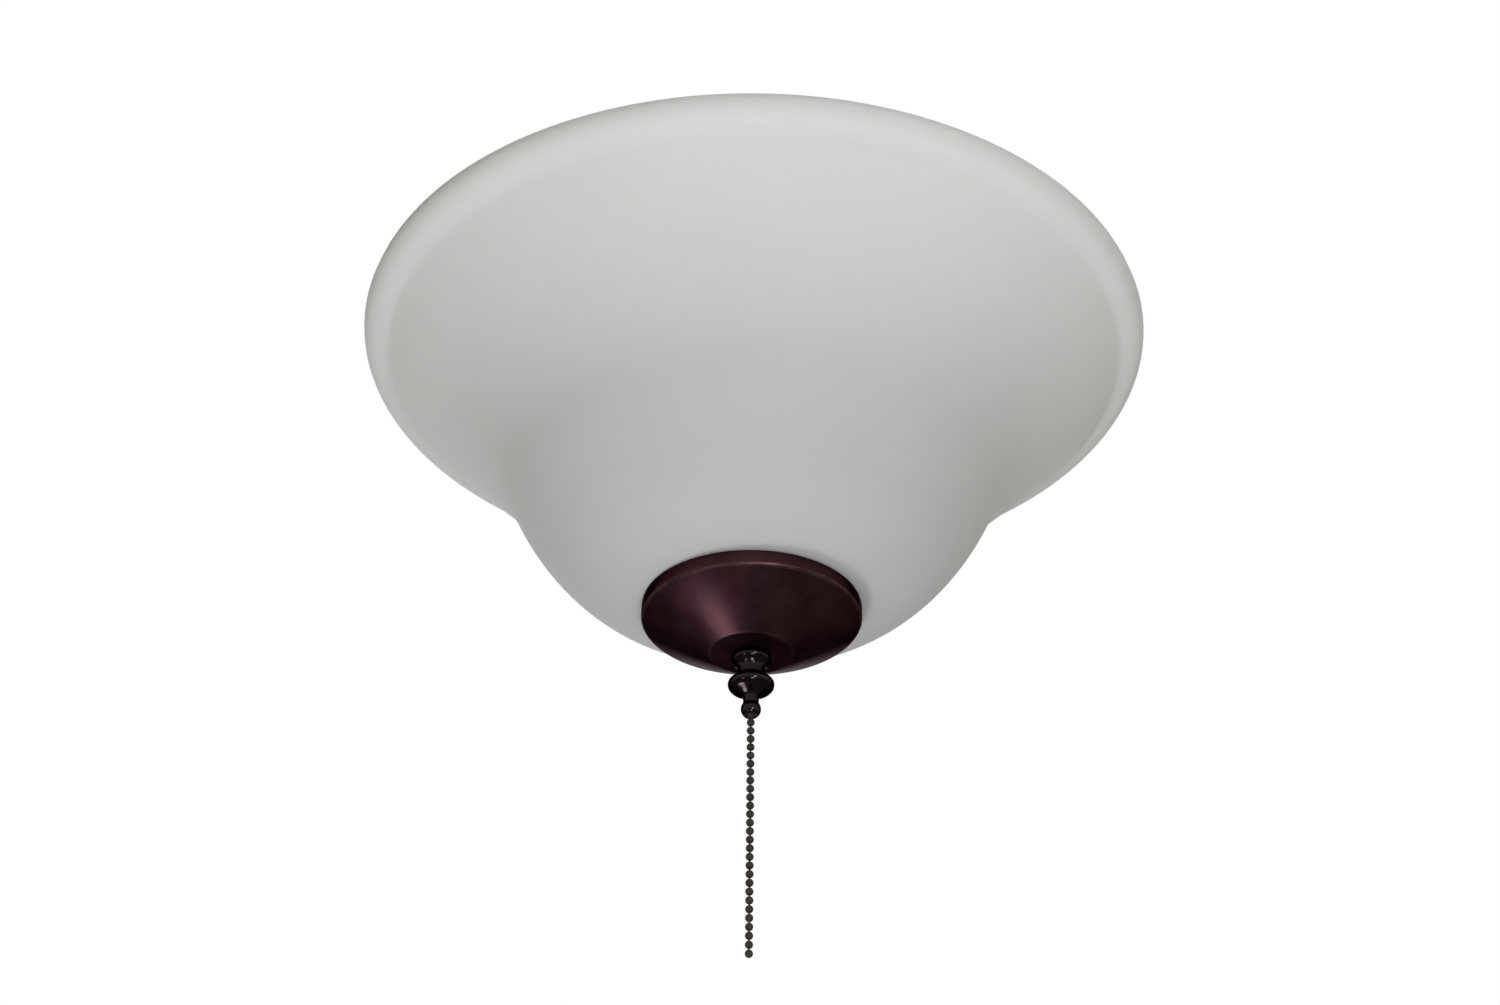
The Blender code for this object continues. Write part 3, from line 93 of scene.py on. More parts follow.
for name, towards, distance, width, watts, colour in LAMPS:
    light = bpy.data.lights.new(name, "AREA")
    light.size = width
    light.energy = watts
    light.color = colour
    lamp = bpy.data.objects.new(name, light)
    bpy.context.scene.collection.objects.link(lamp)
    away = Vector(towards).normalized()
    lamp.location = OBJECT_MIDDLE + away * distance
    lamp.rotation_euler = away.to_track_quat("Z", "Y").to_euler()
    lamp.visible_camera = False

world = bpy.data.worlds.new("white_room")
bpy.context.scene.world = world
world.use_nodes = True
tree = world.node_tree
tree.nodes.clear()
rays = tree.nodes.new("ShaderNodeLightPath").outputs
seen = math_node(tree, "ADD", rays["Is Camera Ray"], rays["Is Glossy Ray"])
seen = math_node(tree, "ADD", seen, rays["Is Transmission Ray"], clamp=True)
choice = tree.nodes.new("ShaderNodeMixShader")
tree.links.new(seen, choice.inputs["Fac"])
for place, colour, strength in ((1, ROOM_COLOUR, ROOM_LIGHT), (2, WHITE, 1.0)):
    background = tree.nodes.new("ShaderNodeBackground")
    background.inputs["Color"].default_value = colour
    background.inputs["Strength"].default_value = strength
    tree.links.new(background.outputs[0], choice.inputs[place])
output = tree.nodes.new("ShaderNodeOutputWorld")
tree.links.new(choice.outputs[0], output.inputs["Surface"])

# It looks nearly white where the camera or glass sees it, and metal reflects it more
# faintly.
FLOOR_DEPTH = 2.0
FLOOR_REACH = 9.0
FLOOR_SIDES = 96
FLOOR_COLOUR = (0.86, 0.86, 0.85, 1)
FLOOR_ROUGHNESS = 0.9
FLOOR_GLOSS = 0.1
FLOOR_PALENESS = 0.72
FLOOR_PALENESS_IN_METAL = 0.05


def even_angles(count):
    """Evenly spaced angles of one full turn."""
    return [math.tau * side / count for side in range(count)]


def around_z(radius, angle, height):
    """The point at this radius and angle from the Z axis."""
    return (radius * math.cos(angle), radius * math.sin(angle), height)


floor_mesh = bpy.data.meshes.new("floor")
corners = [around_z(FLOOR_REACH, angle, -FLOOR_DEPTH) for angle in even_angles(FLOOR_SIDES)]
floor_mesh.from_pydata(corners, [], [tuple(range(FLOOR_SIDES))])
floor = bpy.data.objects.new("floor", floor_mesh)
bpy.context.scene.collection.objects.link(floor)
floor_paint = bpy.data.materials.new("floor_paint")
floor_paint.use_nodes = True
tree = floor_paint.node_tree
paint = tree.nodes["Principled BSDF"]
paint.inputs["Base Color"].default_value = FLOOR_COLOUR
paint.inputs["Roughness"].default_value = FLOOR_ROUGHNESS
paint.inputs["Specular IOR Level"].default_value = FLOOR_GLOSS
paint.inputs["Emission Color"].default_value = WHITE
rays = tree.nodes.new("ShaderNodeLightPath").outputs
straight = math_node(tree, "MAXIMUM", rays["Is Camera Ray"], rays["Is Transmission Ray"])
pale = math_node(tree, "MULTIPLY", straight, FLOOR_PALENESS)
glow = math_node(tree, "MULTIPLY_ADD", rays["Is Glossy Ray"], FLOOR_PALENESS_IN_METAL, pale)
tree.links.new(glow, paint.inputs["Emission Strength"])
floor_mesh.materials.append(floor_paint)

# It is powder-coated dark bronze, and a nipple through its middle clamps it.
PAN_RADIUS = 0.075
PAN_DEPTH = 0.014
PAN_SHOULDER = 0.009
PAN_WALL = 0.0012
NIPPLE_HOLE = 0.00545
SHARP_BEND = math.radians(32)
SOFT_BEND = math.radians(24)
CORNER_STEPS = 3
LONGEST_CORNER_CUT = 1.5
CORNER_SHARE = 0.45
CLOUD_DETAIL = 4.0
CLOUD_CONTRAST = 2.6
CLOUD_DARKENING = -0.8
GRAIN_DETAIL = 2.0


def new_group(name, takes, gives):
    """An empty shader group; gives it with the sockets that feed it and those it fills."""
    group = bpy.data.node_groups.new(name, "ShaderNodeTree")
    kinds = {"vector": "NodeSocketVector", "colour": "NodeSocketColor", "value": "NodeSocketFloat"}
    for label, kind in takes:
        group.interface.new_socket(label, in_out="INPUT", socket_type=kinds[kind])
    for label, kind in gives:
        group.interface.new_socket(label, in_out="OUTPUT", socket_type=kinds[kind])
    given = group.nodes.new("NodeGroupInput")
    result = group.nodes.new("NodeGroupOutput")
    return group, given.outputs, result.inputs


def noise_node(tree, vector, scale, detail):
    """Soft noise on a vector; scale is a socket or a number."""
    node = tree.nodes.new("ShaderNodeTexNoise")
    node.inputs["Detail"].default_value = detail
    tree.links.new(vector, node.inputs["Vector"])
    if isinstance(scale, (int, float)):
        node.inputs["Scale"].default_value = scale
    else:
        tree.links.new(scale, node.inputs["Scale"])
    return node.outputs["Fac"]


def mix_node(tree, share, first, second):
    """A colour mix fed by sockets or plain colours; gives its result's socket."""
    node = tree.nodes.new("ShaderNodeMix")
    node.data_type = "RGBA"
    tree.links.new(share, node.inputs[0])
    for place, value in ((6, first), (7, second)):
        if isinstance(value, tuple):
            node.inputs[place].default_value = (*value, 1)
        else:
            tree.links.new(value, node.inputs[place])
    return node.outputs[2]


def shade_node(tree, colour, factor):
    """A colour made lighter or darker by a factor; gives its result's socket."""
    node = tree.nodes.new("ShaderNodeVectorMath")
    node.operation = "SCALE"
    tree.links.new(colour, node.inputs[0])
    tree.links.new(factor, node.inputs["Scale"])
    return node.outputs[0]


def make_clouded_group():
    """Shader group for a surface that clouds softly into a second colour, with a fine grain."""
    takes = [("Vector", "vector"), ("Color", "colour"), ("Cloud Color", "colour")]
    for label in (
        "Cloud Scale",
        "Cloud Amount",
        "Grain Scale",
        "Grain Amount",
        "Roughness",
        "Roughness Spread",
    ):
        takes.append((label, "value"))
    gives = [("Color", "colour"), ("Roughness", "value"), ("Height", "value")]
    group, given, result = new_group("clouded", takes, gives)
    cloud = noise_node(group, given["Vector"], given["Cloud Scale"], CLOUD_DETAIL)
    steep = math_node(group, "MULTIPLY_ADD", cloud, CLOUD_CONTRAST, CLOUD_DARKENING, clamp=True)
    share = math_node(group, "MULTIPLY", steep, given["Cloud Amount"])
    grain = noise_node(group, given["Vector"], given["Grain Scale"], GRAIN_DETAIL)
    centred = math_node(group, "SUBTRACT", grain, 0.5)
    shade = math_node(group, "MULTIPLY", centred, given["Grain Amount"])
    factor = math_node(group, "ADD", shade, 1.0)
    mixed = mix_node(group, share, given["Color"], given["Cloud Color"])
    group.links.new(shade_node(group, mixed, factor), result["Color"])
    swing = math_node(group, "SUBTRACT", steep, 0.5)
    spread = math_node(group, "MULTIPLY", swing, given["Roughness Spread"])
    fine = math_node(group, "MULTIPLY", centred, given["Roughness Spread"])
    both = math_node(group, "ADD", spread, fine)
    rough = math_node(group, "ADD", both, given["Roughness"], clamp=True)
    group.links.new(rough, result["Roughness"])
    group.links.new(grain, result["Height"])
    return group


clouded = make_clouded_group()


def make_finish(name, colour, second, cloud, grain, roughness, relief, **sockets):
    """A material from the clouded group. Cloud and grain are (size in metres, amount) pairs,
    roughness is (middle, spread) and relief is the depth of the grain in metres."""
    made = bpy.data.materials.new(name)
    made.use_nodes = True
    made.diffuse_color = (*colour, 1)
    tree = made.node_tree
    shader = tree.nodes["Principled BSDF"]
    place = tree.nodes.new("ShaderNodeTexCoord")
    look = tree.nodes.new("ShaderNodeGroup")
    look.name = "look"
    look.node_tree = clouded
    tree.links.new(place.outputs["Object"], look.inputs["Vector"])
    look.inputs["Color"].default_value = (*colour, 1)
    look.inputs["Cloud Color"].default_value = (*second, 1)
    look.inputs["Cloud Scale"].default_value = 1 / cloud[0]
    look.inputs["Cloud Amount"].default_value = cloud[1]
    look.inputs["Grain Scale"].default_value = 1 / grain[0]
    look.inputs["Grain Amount"].default_value = grain[1]
    look.inputs["Roughness"].default_value = roughness[0]
    look.inputs["Roughness Spread"].default_value = roughness[1]
    tree.links.new(look.outputs["Color"], shader.inputs["Base Color"])
    tree.links.new(look.outputs["Roughness"], shader.inputs["Roughness"])
    bump = tree.nodes.new("ShaderNodeBump")
    bump.inputs["Distance"].default_value = relief
    tree.links.new(look.outputs["Height"], bump.inputs["Height"])
    tree.links.new(bump.outputs["Normal"], shader.inputs["Normal"])
    for label, value in sockets.items():
        shader.inputs[label.replace("_", " ")].default_value = value
    return made


def skin(name, rings, looped=True):
    """A smooth mesh over a row of equal rings. Looped joins the last ring to the first, and
    otherwise each end gets a lid."""
    count = len(rings[0])
    faces = []
    for row in range(len(rings) if looped else len(rings) - 1):
        here, there = row * count, (row + 1) % len(rings) * count
        for side in range(count):
            other = (side + 1) % count
            faces.append((here + side, here + other, there + other, there + side))
    if not looped:
        faces.append(tuple(range(count)))
        faces.append(tuple(range((len(rings) - 1) * count, len(rings) * count)))
    mesh = bpy.data.meshes.new(name)
    mesh.from_pydata([point for ring in rings for point in ring], [], faces)
    shape = bmesh.new()
    shape.from_mesh(mesh)
    bmesh.ops.recalc_face_normals(shape, faces=shape.faces)
    shape.to_mesh(mesh)
    shape.free()
    mesh.shade_smooth()
    mesh.set_sharp_from_angle(angle=SHARP_BEND)
    return mesh


def turned(name, outline, sides, looped=True):
    """A mesh turned about Z from (radius, height) points."""
    angles = even_angles(sides)
    rings = [[around_z(radius, angle, height) for angle in angles] for radius, height in outline]
    return skin(name, rings, looped)


def soften(outline, size, looped=True):
    """The outline with its corners rounded off, as drawing, paint or polish leaves them."""
    softened = []
    for index, corner in enumerate(outline):
        here = Vector(corner)
        into = here - Vector(outline[index - 1])
        leaving = Vector(outline[(index + 1) % len(outline)]) - here
        at_end = not looped and index in (0, len(outline) - 1)
        bend = 0.0 if at_end else into.angle(leaving)
        if bend < SOFT_BEND:
            softened.append(tuple(corner))
            continue
        reach = min(size * math.tan(bend / 2), size * LONGEST_CORNER_CUT)
        start = here - into.normalized() * min(reach, into.length * CORNER_SHARE)
        end = here + leaving.normalized() * min(reach, leaving.length * CORNER_SHARE)
        for step in range(CORNER_STEPS + 1):
            t = step / CORNER_STEPS
            point = start * (1 - t) ** 2 + here * 2 * t * (1 - t) + end * t * t
            softened.append(tuple(point))
    return softened


def arc(centre, radius, start, end, steps):
    """Points on a round stretch, both ends included."""
    points = []
    for step in range(steps + 1):
        angle = start + (end - start) * step / steps
        points.append((centre[0] + radius * math.cos(angle), centre[1] + radius * math.sin(angle)))
    return points


def drawn_dish(name, radius, top, bottom, shoulder, wall, steps, softness, sides):
    """A sheet dish, open below, with a round shoulder and the nipple's hole in its top."""
    centre = (radius - shoulder, top - shoulder)
    outside = [(NIPPLE_HOLE, top)] + arc(centre, shoulder, math.pi / 2, 0, steps)
    outside.append((radius, bottom))
    inside = [(NIPPLE_HOLE, top - wall)] + arc(centre, shoulder - wall, math.pi / 2, 0, steps)
    inside.append((radius - wall, bottom))
    return turned(name, soften(outside + inside[::-1], softness), sides)


def place_piece(mesh, material, body, slot, stands_for, at=(0, 0, 0), turn=(0, 0, 0)):
    """Adds a mesh as a piece that rides on a body and stands for the named nodes."""
    piece = bpy.data.objects.new(mesh.name, mesh)
    bpy.context.scene.collection.objects.link(piece)
    mesh.materials.append(material)
    piece.location = at
    piece.rotation_euler = turn
    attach(piece, body)
    if stands_for:
        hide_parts(*stands_for)


painted_steel = make_finish(
    "dark_bronze_powder_coat",
    colour=(0.030, 0.016, 0.014),
    second=(0.046, 0.026, 0.021),
    cloud=(0.02, 0.6),
    grain=(0.0007, 0.3),
    roughness=(0.42, 0.14),
    relief=0.00006,
    Metallic=0.35,
    Coat_Weight=0.15,
    Coat_Roughness=0.35,
)
mesh = drawn_dish(
    "pan_dish",
    radius=PAN_RADIUS,
    top=0,
    bottom=-PAN_DEPTH,
    shoulder=PAN_SHOULDER,
    wall=PAN_WALL,
    steps=14,
    softness=0.0004,
    sides=128,
)
place_piece(mesh, painted_steel, "fitter", "painted_steel", ["fitter_pan"])

# Threaded nipple with its nuts and toothed washers: zinc-plated steel from the screw machine.
NIPPLE_RADIUS = 0.00515
NIPPLE_BORE = 0.0034
NIPPLE_REACH = 0.012
NIPPLE_PITCH = 0.00094
NIPPLE_SIDES = 48
NIPPLE_NUT_FLATS = 0.0159
THREAD_DEPTH = 0.0005
THREAD_ROWS = 6
END_CHAMFER = 1.5
NUT_CROWN = 0.96
NUT_CHAMFER = math.radians(30)
NUT_SIDES = 72
EDGE_BREAK = 0.0004
WASHER_TEETH = 8
WASHER_RADIUS = 0.0088
WASHER_SHEET = 0.0005
WASHER_TWIST = 0.00022
TOOTH_SHARE = 0.62
TOOTH_SIDES = 12

zinc = make_finish(
    "bright_zinc_plate",
    colour=(0.62, 0.62, 0.60),
    second=(0.50, 0.51, 0.47),
    cloud=(0.004, 0.7),
    grain=(0.00025, 0.16),
    roughness=(0.30, 0.16),
    relief=0.000012,
    Metallic=1.0,
)


def thread_ring(radius, height, pitch, depth, sides, least_cut=0.0):
    """One ring of a threaded wall, whose crests wind up as they go round."""
    ring = []
    for side in range(sides):
        turn = side / sides
        wave = 0.5 - 0.5 * math.cos(math.tau * (height / pitch - turn))
        ring.append(around_z(radius - max(depth * wave, least_cut), math.tau * turn, height))
    return ring


def threaded(name, radius, bore, low, high, pitch, sides):
    """A threaded tube: the crests wind up its outside, and its ends are chamfered."""
    rows = round((high - low) / pitch * THREAD_ROWS)
    rings = []
    for row in range(rows + 1):
        height = low + (high - low) * row / rows
        near_end = min(height - low, high - height) / pitch
        cut = THREAD_DEPTH * max(0.0, 1 - near_end * END_CHAMFER)
        rings.append(thread_ring(radius, height, pitch, THREAD_DEPTH, sides, cut))
    for height in (high, low):
        rings.append([around_z(bore, angle, height) for angle in even_angles(sides)])
    return skin(name, rings)


def hex_nut(name, flats, bore, height):
    """A hexagon nut with its corners chamfered and its bore's edges broken on both faces."""
    crown = flats / 2 * NUT_CROWN
    columns = []
    for angle in even_angles(NUT_SIDES):
        corner = flats / 2 / math.cos(angle % (math.pi / 3) - math.pi / 6)
        drop = (corner - crown) * math.tan(NUT_CHAMFER)
        section = [
            (bore + EDGE_BREAK, 0),
            (crown, 0),
            (corner, drop),
            (corner, height - drop),
            (crown, height),
            (bore + EDGE_BREAK, height),
            (bore, height - EDGE_BREAK),
            (bore, EDGE_BREAK),
        ]
        columns.append([around_z(radius, angle, level) for radius, level in section])
    return skin(name, list(zip(*columns)))


def toothed_washer(name, bore, radius, thickness):
    """A lock washer whose teeth are twisted out of its plane."""
    sides = WASHER_TEETH * TOOTH_SIDES
    root = (bore + radius) / 2
    low = (thickness - WASHER_SHEET) / 2
    high = low + WASHER_SHEET
    half_tooth = TOOTH_SHARE / 2
    columns = []
    for side, angle in enumerate(even_angles(sides)):
        place = side / TOOTH_SIDES % 1
        tooth = 1 if place < TOOTH_SHARE else 0
        reach = root + (radius - root) * tooth
        lift = (place - half_tooth) / half_tooth * WASHER_TWIST * tooth
        section = [
            (bore, low),
            (root - EDGE_BREAK, low),
            (reach, low + lift),
            (reach, high + lift),
            (root - EDGE_BREAK, high),
            (bore, high),
        ]
        columns.append([around_z(across, angle, level) for across, level in section])
    return skin(name, list(zip(*columns)))


mesh = threaded(
    "threaded_nipple",
    NIPPLE_RADIUS,
    NIPPLE_BORE,
    -NIPPLE_REACH,
    NIPPLE_REACH,
    NIPPLE_PITCH,
    NIPPLE_SIDES,
)
place_piece(mesh, zinc, "fitter", "zinc_plate", ["top_nipple"])
for node, label in (("top_lock_washer", "fan_side"), ("inner_lock_washer", "pan_side")):
    low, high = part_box(node)
    mesh = toothed_washer(f"toothed_washer_{label}", NIPPLE_HOLE, WASHER_RADIUS, high.z - low.z)
    place_piece(mesh, zinc, "fitter", "zinc_plate", [node], (0, 0, low.z))
for node, label in (("top_nut", "fan_side"), ("inner_nut", "pan_side")):
    low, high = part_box(node)
    mesh = hex_nut(f"nipple_nut_{label}", NIPPLE_NUT_FLATS, NIPPLE_HOLE, high.z - low.z)
    place_piece(mesh, zinc, "fitter", "zinc_plate", [node], (0, 0, low.z))

# Cluster body and cover: two drawn steel cups, powder-coated like the pan.
# The body carries the sockets, and three round-head screws hold the cover in its mouth.
CLUSTER_RADIUS = 0.028
CLUSTER_WALL = 0.001
CLUSTER_ROUNDING = 0.004
CLUSTER_SIDES = 96
COVER_SHEET = 0.0012
COVER_GAP = 0.0003
COVER_SOFTNESS = 0.0006
STEM_HOLE = 0.0043
SCREW_SEAT = 0.0283
SCREW_HEAD_RADIUS = 0.0034
SCREW_HEAD_HEIGHT = 0.0022
SCREW_DOME = [math.radians(angle) for angle in (0, 15, 30, 45, 60, 75, 86)]
SCREW_RADIUS = 0.0016
SCREW_LENGTH = 0.006
SCREW_TIP_LENGTH = 0.0005
SCREW_TIP_RADIUS = 0.7 * SCREW_RADIUS
SCREW_SIDES = 40
SLOT_WIDTH = 0.0009
SLOT_DEPTH = 0.0011
SLOT_REACH = 0.005
SLOT_CLEARANCE = 0.001

low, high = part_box("cluster_body")
mesh = drawn_dish(
    "cluster_cup",
    radius=CLUSTER_RADIUS,
    top=high.z,
    bottom=low.z,
    shoulder=CLUSTER_ROUNDING,
    wall=CLUSTER_WALL,
    steps=8,
    softness=0.0003,
    sides=CLUSTER_SIDES,
)
place_piece(mesh, painted_steel, "fitter", "painted_steel", ["cluster_body"])

low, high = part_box("cluster_cover")
cover_radius = CLUSTER_RADIUS - CLUSTER_WALL - COVER_GAP
outline = [
    (STEM_HOLE, low.z),
    (cover_radius, low.z),
    (cover_radius, high.z),
    (cover_radius - CLUSTER_WALL, high.z),
    (cover_radius - CLUSTER_WALL, low.z + COVER_SHEET),
    (STEM_HOLE, low.z + COVER_SHEET),
]
mesh = turned("cluster_lid", soften(outline, COVER_SOFTNESS), CLUSTER_SIDES)
place_piece(mesh, painted_steel, "fitter", "painted_steel", ["cluster_cover"])


def block(low, high):
    """A plain cutting block between two corners."""
    shape = bmesh.new()
    size = Vector(high) - Vector(low)
    middle = (Vector(high) + Vector(low)) / 2
    place = Matrix.Translation(middle) @ Matrix.Diagonal((*size, 1))
    bmesh.ops.create_cube(shape, size=1, matrix=place)
    mesh = bpy.data.meshes.new("block")
    shape.to_mesh(mesh)
    shape.free()
    return mesh


def carved(mesh, tool_mesh):
    """The mesh with the tool mesh cut out of it, under the same name."""
    name = mesh.name
    target = bpy.data.objects.new("target", mesh)
    tool = bpy.data.objects.new("tool", tool_mesh)
    for helper in (target, tool):
        bpy.context.scene.collection.objects.link(helper)
    cut = target.modifiers.new("cut", "BOOLEAN")
    cut.object = tool
    cut.solver = "EXACT"
    graph = bpy.context.evaluated_depsgraph_get()
    result = bpy.data.meshes.new_from_object(target.evaluated_get(graph))
    for helper in (target, tool):
        bpy.data.objects.remove(helper)
    for used in (mesh, tool_mesh):
        bpy.data.meshes.remove(used)
    result.name = name
    result.set_sharp_from_angle(angle=SHARP_BEND)
    return result


screw_outline = [
    (SCREW_TIP_RADIUS, SCREW_SEAT - SCREW_LENGTH),
    (SCREW_RADIUS, SCREW_SEAT - SCREW_LENGTH + SCREW_TIP_LENGTH),
    (SCREW_RADIUS, SCREW_SEAT),
]
for angle in SCREW_DOME:
    height = SCREW_SEAT + SCREW_HEAD_HEIGHT * math.sin(angle)
    screw_outline.append((SCREW_HEAD_RADIUS * math.cos(angle), height))
slot_floor = SCREW_SEAT + SCREW_HEAD_HEIGHT - SLOT_DEPTH
slot_low = (-SLOT_WIDTH / 2, -SLOT_REACH, slot_floor)
slot_high = (SLOT_WIDTH / 2, SLOT_REACH, slot_floor + SLOT_DEPTH + SLOT_CLEARANCE)
for number in (1, 2, 3):
    node = f"cover_screw_{number}"
    low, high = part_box(node)
    mesh = turned(f"round_head_screw_{number}", screw_outline, SCREW_SIDES, looped=False)
    mesh = carved(mesh, block(slot_low, slot_high))
    middle = (0, 0, (low.z + high.z) / 2)
    turn = (0, math.pi / 2, math.atan2(low.y + high.y, low.x + high.x))
    place_piece(mesh, zinc, "fitter", "zinc_plate", [node], middle, turn)

# Pull switch and its bracket: a strap of zinc-plated steel, a black phenolic case and lid, and
# inside them a nylon drum on a steel axle, a coiled spring, a contact rotor and brass terminals.
phenolic = make_finish(
    "moulded_black_phenolic",
    colour=(0.020, 0.019, 0.018),
    second=(0.034, 0.031, 0.029),
    cloud=(0.006, 0.5),
    grain=(0.0003, 0.4),
    roughness=(0.42, 0.16),
    relief=0.00003,
)
brass = make_finish(
    "stamped_brass",
    colour=(0.72, 0.50, 0.20),
    second=(0.50, 0.32, 0.13),
    cloud=(0.006, 0.7),
    grain=(0.0002, 0.16),
    roughness=(0.28, 0.18),
    relief=0.00001,
    Metallic=1.0,
)
nylon = make_finish(
    "natural_nylon",
    colour=(0.74, 0.72, 0.64),
    second=(0.66, 0.63, 0.54),
    cloud=(0.005, 0.5),
    grain=(0.0003, 0.1),
    roughness=(0.45, 0.1),
    relief=0.00001,
    Subsurface_Weight=0.2,
)
spring_steel = make_finish(
    "oiled_spring_steel",
    colour=(0.36, 0.36, 0.37),
    second=(0.22, 0.21, 0.21),
    cloud=(0.003, 0.7),
    grain=(0.0002, 0.2),
    roughness=(0.30, 0.15),
    relief=0.00001,
    Metallic=1.0,
)
chain_bronze = make_finish(
    "dark_bronze_chain",
    colour=(0.037, 0.030, 0.024),
    second=(0.060, 0.050, 0.041),
    cloud=(0.004, 0.8),
    grain=(0.0004, 0.5),
    roughness=(0.55, 0.12),
    relief=0.00004,
    Metallic=0.25,
    Specular_IOR_Level=0.1,
)


def refinish(node, material):
    """Gives its finish to a CAD node that is shown as it is."""
    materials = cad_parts[node].data.materials
    materials.clear()
    materials.append(material)


for node, material in (
    ("switch_bracket", zinc),
    ("switch_case", phenolic),
    ("switch_lid", phenolic),
    ("switch_bush", brass),
    ("bush_nut", zinc),
    ("switch_drum", nylon),
    ("drum_axle", spring_steel),
    ("drum_chain", chain_bronze),
    ("return_spring", spring_steel),
    ("contact_rotor", phenolic),
    ("terminal_1", brass),
    ("terminal_2", brass),
):
    refinish(node, material)

# Sockets: glazed porcelain medium screw sockets, each held on the cluster body by a hollow
# zinc-plated bolt, with a rolled brass screw shell and a sprung brass contact inside.
SOCKET_Z = -0.037
SOCKET_TURNS = [(0, math.pi / 2, math.radians(angle)) for angle in (90, 210, 330)]
SOCKET_PLACES = [{"at": (0, 0, SOCKET_Z), "turn": turn} for turn in SOCKET_TURNS]
SOCKET_BORE = 0.0051
SOCKET_BACK = 0.0283
SOCKET_NECK = 0.0095
SOCKET_NECK_LENGTH = 0.0075
SOCKET_SHOULDER = 0.005
SOCKET_RADIUS = 0.018
SOCKET_WALL = 0.0026
SOCKET_SEAT = 0.0398
SOCKET_END = 0.0658
SOCKET_SOFTNESS = 0.0009
SOCKET_SIDES = 80
GROOVE_FROM_END = 0.0052
GROOVE_DEPTH = 0.0006
GROOVE_WIDTH = 0.0008
LAMP_PITCH = 0.00363
ROLLED_DEPTH = 0.0007
ROLLED_ROWS = 10
ROLLED_SIDES = 72
SHELL_INNER_RADIUS = 0.01345
SHELL_OUTER_RADIUS = 0.0138
SHELL_START = 0.0008
SHELL_END = 0.0233

porcelain = make_finish(
    "glazed_porcelain",
    colour=(0.80, 0.79, 0.745),
    second=(0.74, 0.72, 0.66),
    cloud=(0.012, 0.5),
    grain=(0.0006, 0.03),
    roughness=(0.20, 0.08),
    relief=0.00002,
    Coat_Weight=0.6,
    Coat_Roughness=0.06,
)


def rolled_tube(name, inner, outer, low, high):
    """A thin shell with the lamps' round thread rolled through both its faces."""
    rows = round((high - low) / LAMP_PITCH * ROLLED_ROWS)
    rings = []
    for radius, order in ((outer, range(rows + 1)), (inner, range(rows, -1, -1))):
        for row in order:
            height = low + (high - low) * row / rows
            rings.append(thread_ring(radius, height, LAMP_PITCH, ROLLED_DEPTH, ROLLED_SIDES))
    return skin(name, rings)


groove_start = SOCKET_END - GROOVE_FROM_END - 2 * GROOVE_DEPTH - GROOVE_WIDTH
socket_outline = [
    (SOCKET_BORE, SOCKET_BACK),
    (SOCKET_NECK, SOCKET_BACK),
    (SOCKET_NECK, SOCKET_BACK + SOCKET_NECK_LENGTH),
    (SOCKET_RADIUS, SOCKET_BACK + SOCKET_NECK_LENGTH + SOCKET_SHOULDER),
    (SOCKET_RADIUS, groove_start),
    (SOCKET_RADIUS - GROOVE_DEPTH, groove_start + GROOVE_DEPTH),
    (SOCKET_RADIUS - GROOVE_DEPTH, groove_start + GROOVE_DEPTH + GROOVE_WIDTH),
    (SOCKET_RADIUS, SOCKET_END - GROOVE_FROM_END),
    (SOCKET_RADIUS, SOCKET_END),
    (SOCKET_RADIUS - SOCKET_WALL, SOCKET_END),
    (SOCKET_RADIUS - SOCKET_WALL, SOCKET_SEAT),
    (SOCKET_BORE, SOCKET_SEAT),
]
socket_outline = soften(socket_outline, SOCKET_SOFTNESS)
for number, place in enumerate(SOCKET_PLACES, 1):
    mesh = turned(f"porcelain_socket_{number}", socket_outline, SOCKET_SIDES)
    place_piece(mesh, porcelain, "fitter", "porcelain", [f"socket_body_{number}"], **place)
    mesh = rolled_tube(
        f"rolled_shell_{number}",
        SHELL_INNER_RADIUS,
        SHELL_OUTER_RADIUS,
        SOCKET_SEAT + SHELL_START,
        SOCKET_SEAT + SHELL_END,
    )
    place_piece(mesh, brass, "fitter", "brass", [f"screw_shell_{number}"], **place)
    refinish(f"hollow_bolt_{number}", zinc)
    refinish(f"centre_contact_{number}", brass)

# Lamps: soft white glass envelopes, cemented in rolled nickel-plated screw bases with a
# glass insulator and a soldered tip contact.
BASE_TIP = 0.0466
BASE_END = 0.0731
BASE_RADIUS = 0.0129
BASE_WALL = 0.0009
BASE_SIDES = 72
THREADS_FROM_TIP = 0.0062
THREADS_FROM_END = 0.0055
COLLAR_SOFTNESS = 0.0003
INSULATOR_RADIUS = BASE_RADIUS - 0.0013
INSULATOR_SOFTNESS = 0.0008
INSULATOR_SIDES = 64
TIP_SIDES = 48
BULB_RADIUS = 0.0225
BULB_TOP = 0.1266
BULB_NECK = 0.0119
BULB_SHANK = 0.015
BULB_JOIN = math.radians(50)
BULB_CROWN = math.radians(88.5)
BULB_SIDES = 80
GLOBE_STEPS = 22
NECK_STEPS = 13
# The collar's (radius, height) points from the base's own radius and end, and the insulator's
# and the tip contact's with their heights from the base's tip.
COLLAR_POINTS = [
    (-0.0016, -0.0057),
    (-0.0004, -0.0057),
    (-0.0001, -0.0040),
    (0, -0.0002),
    (-0.0007, 0),
    (-BASE_WALL, -0.0012),
]
INSULATOR_POINTS = [
    (0.0047, 0.0014),
    (0.0062, 0.0016),
    (INSULATOR_RADIUS, 0.0056),
    (INSULATOR_RADIUS, 0.0068),
]
TIP_POINTS = [(0.0048, 0.0016), (0.0048, 0.0012), (0.0040, 0.0003), (0.0012, 0)]

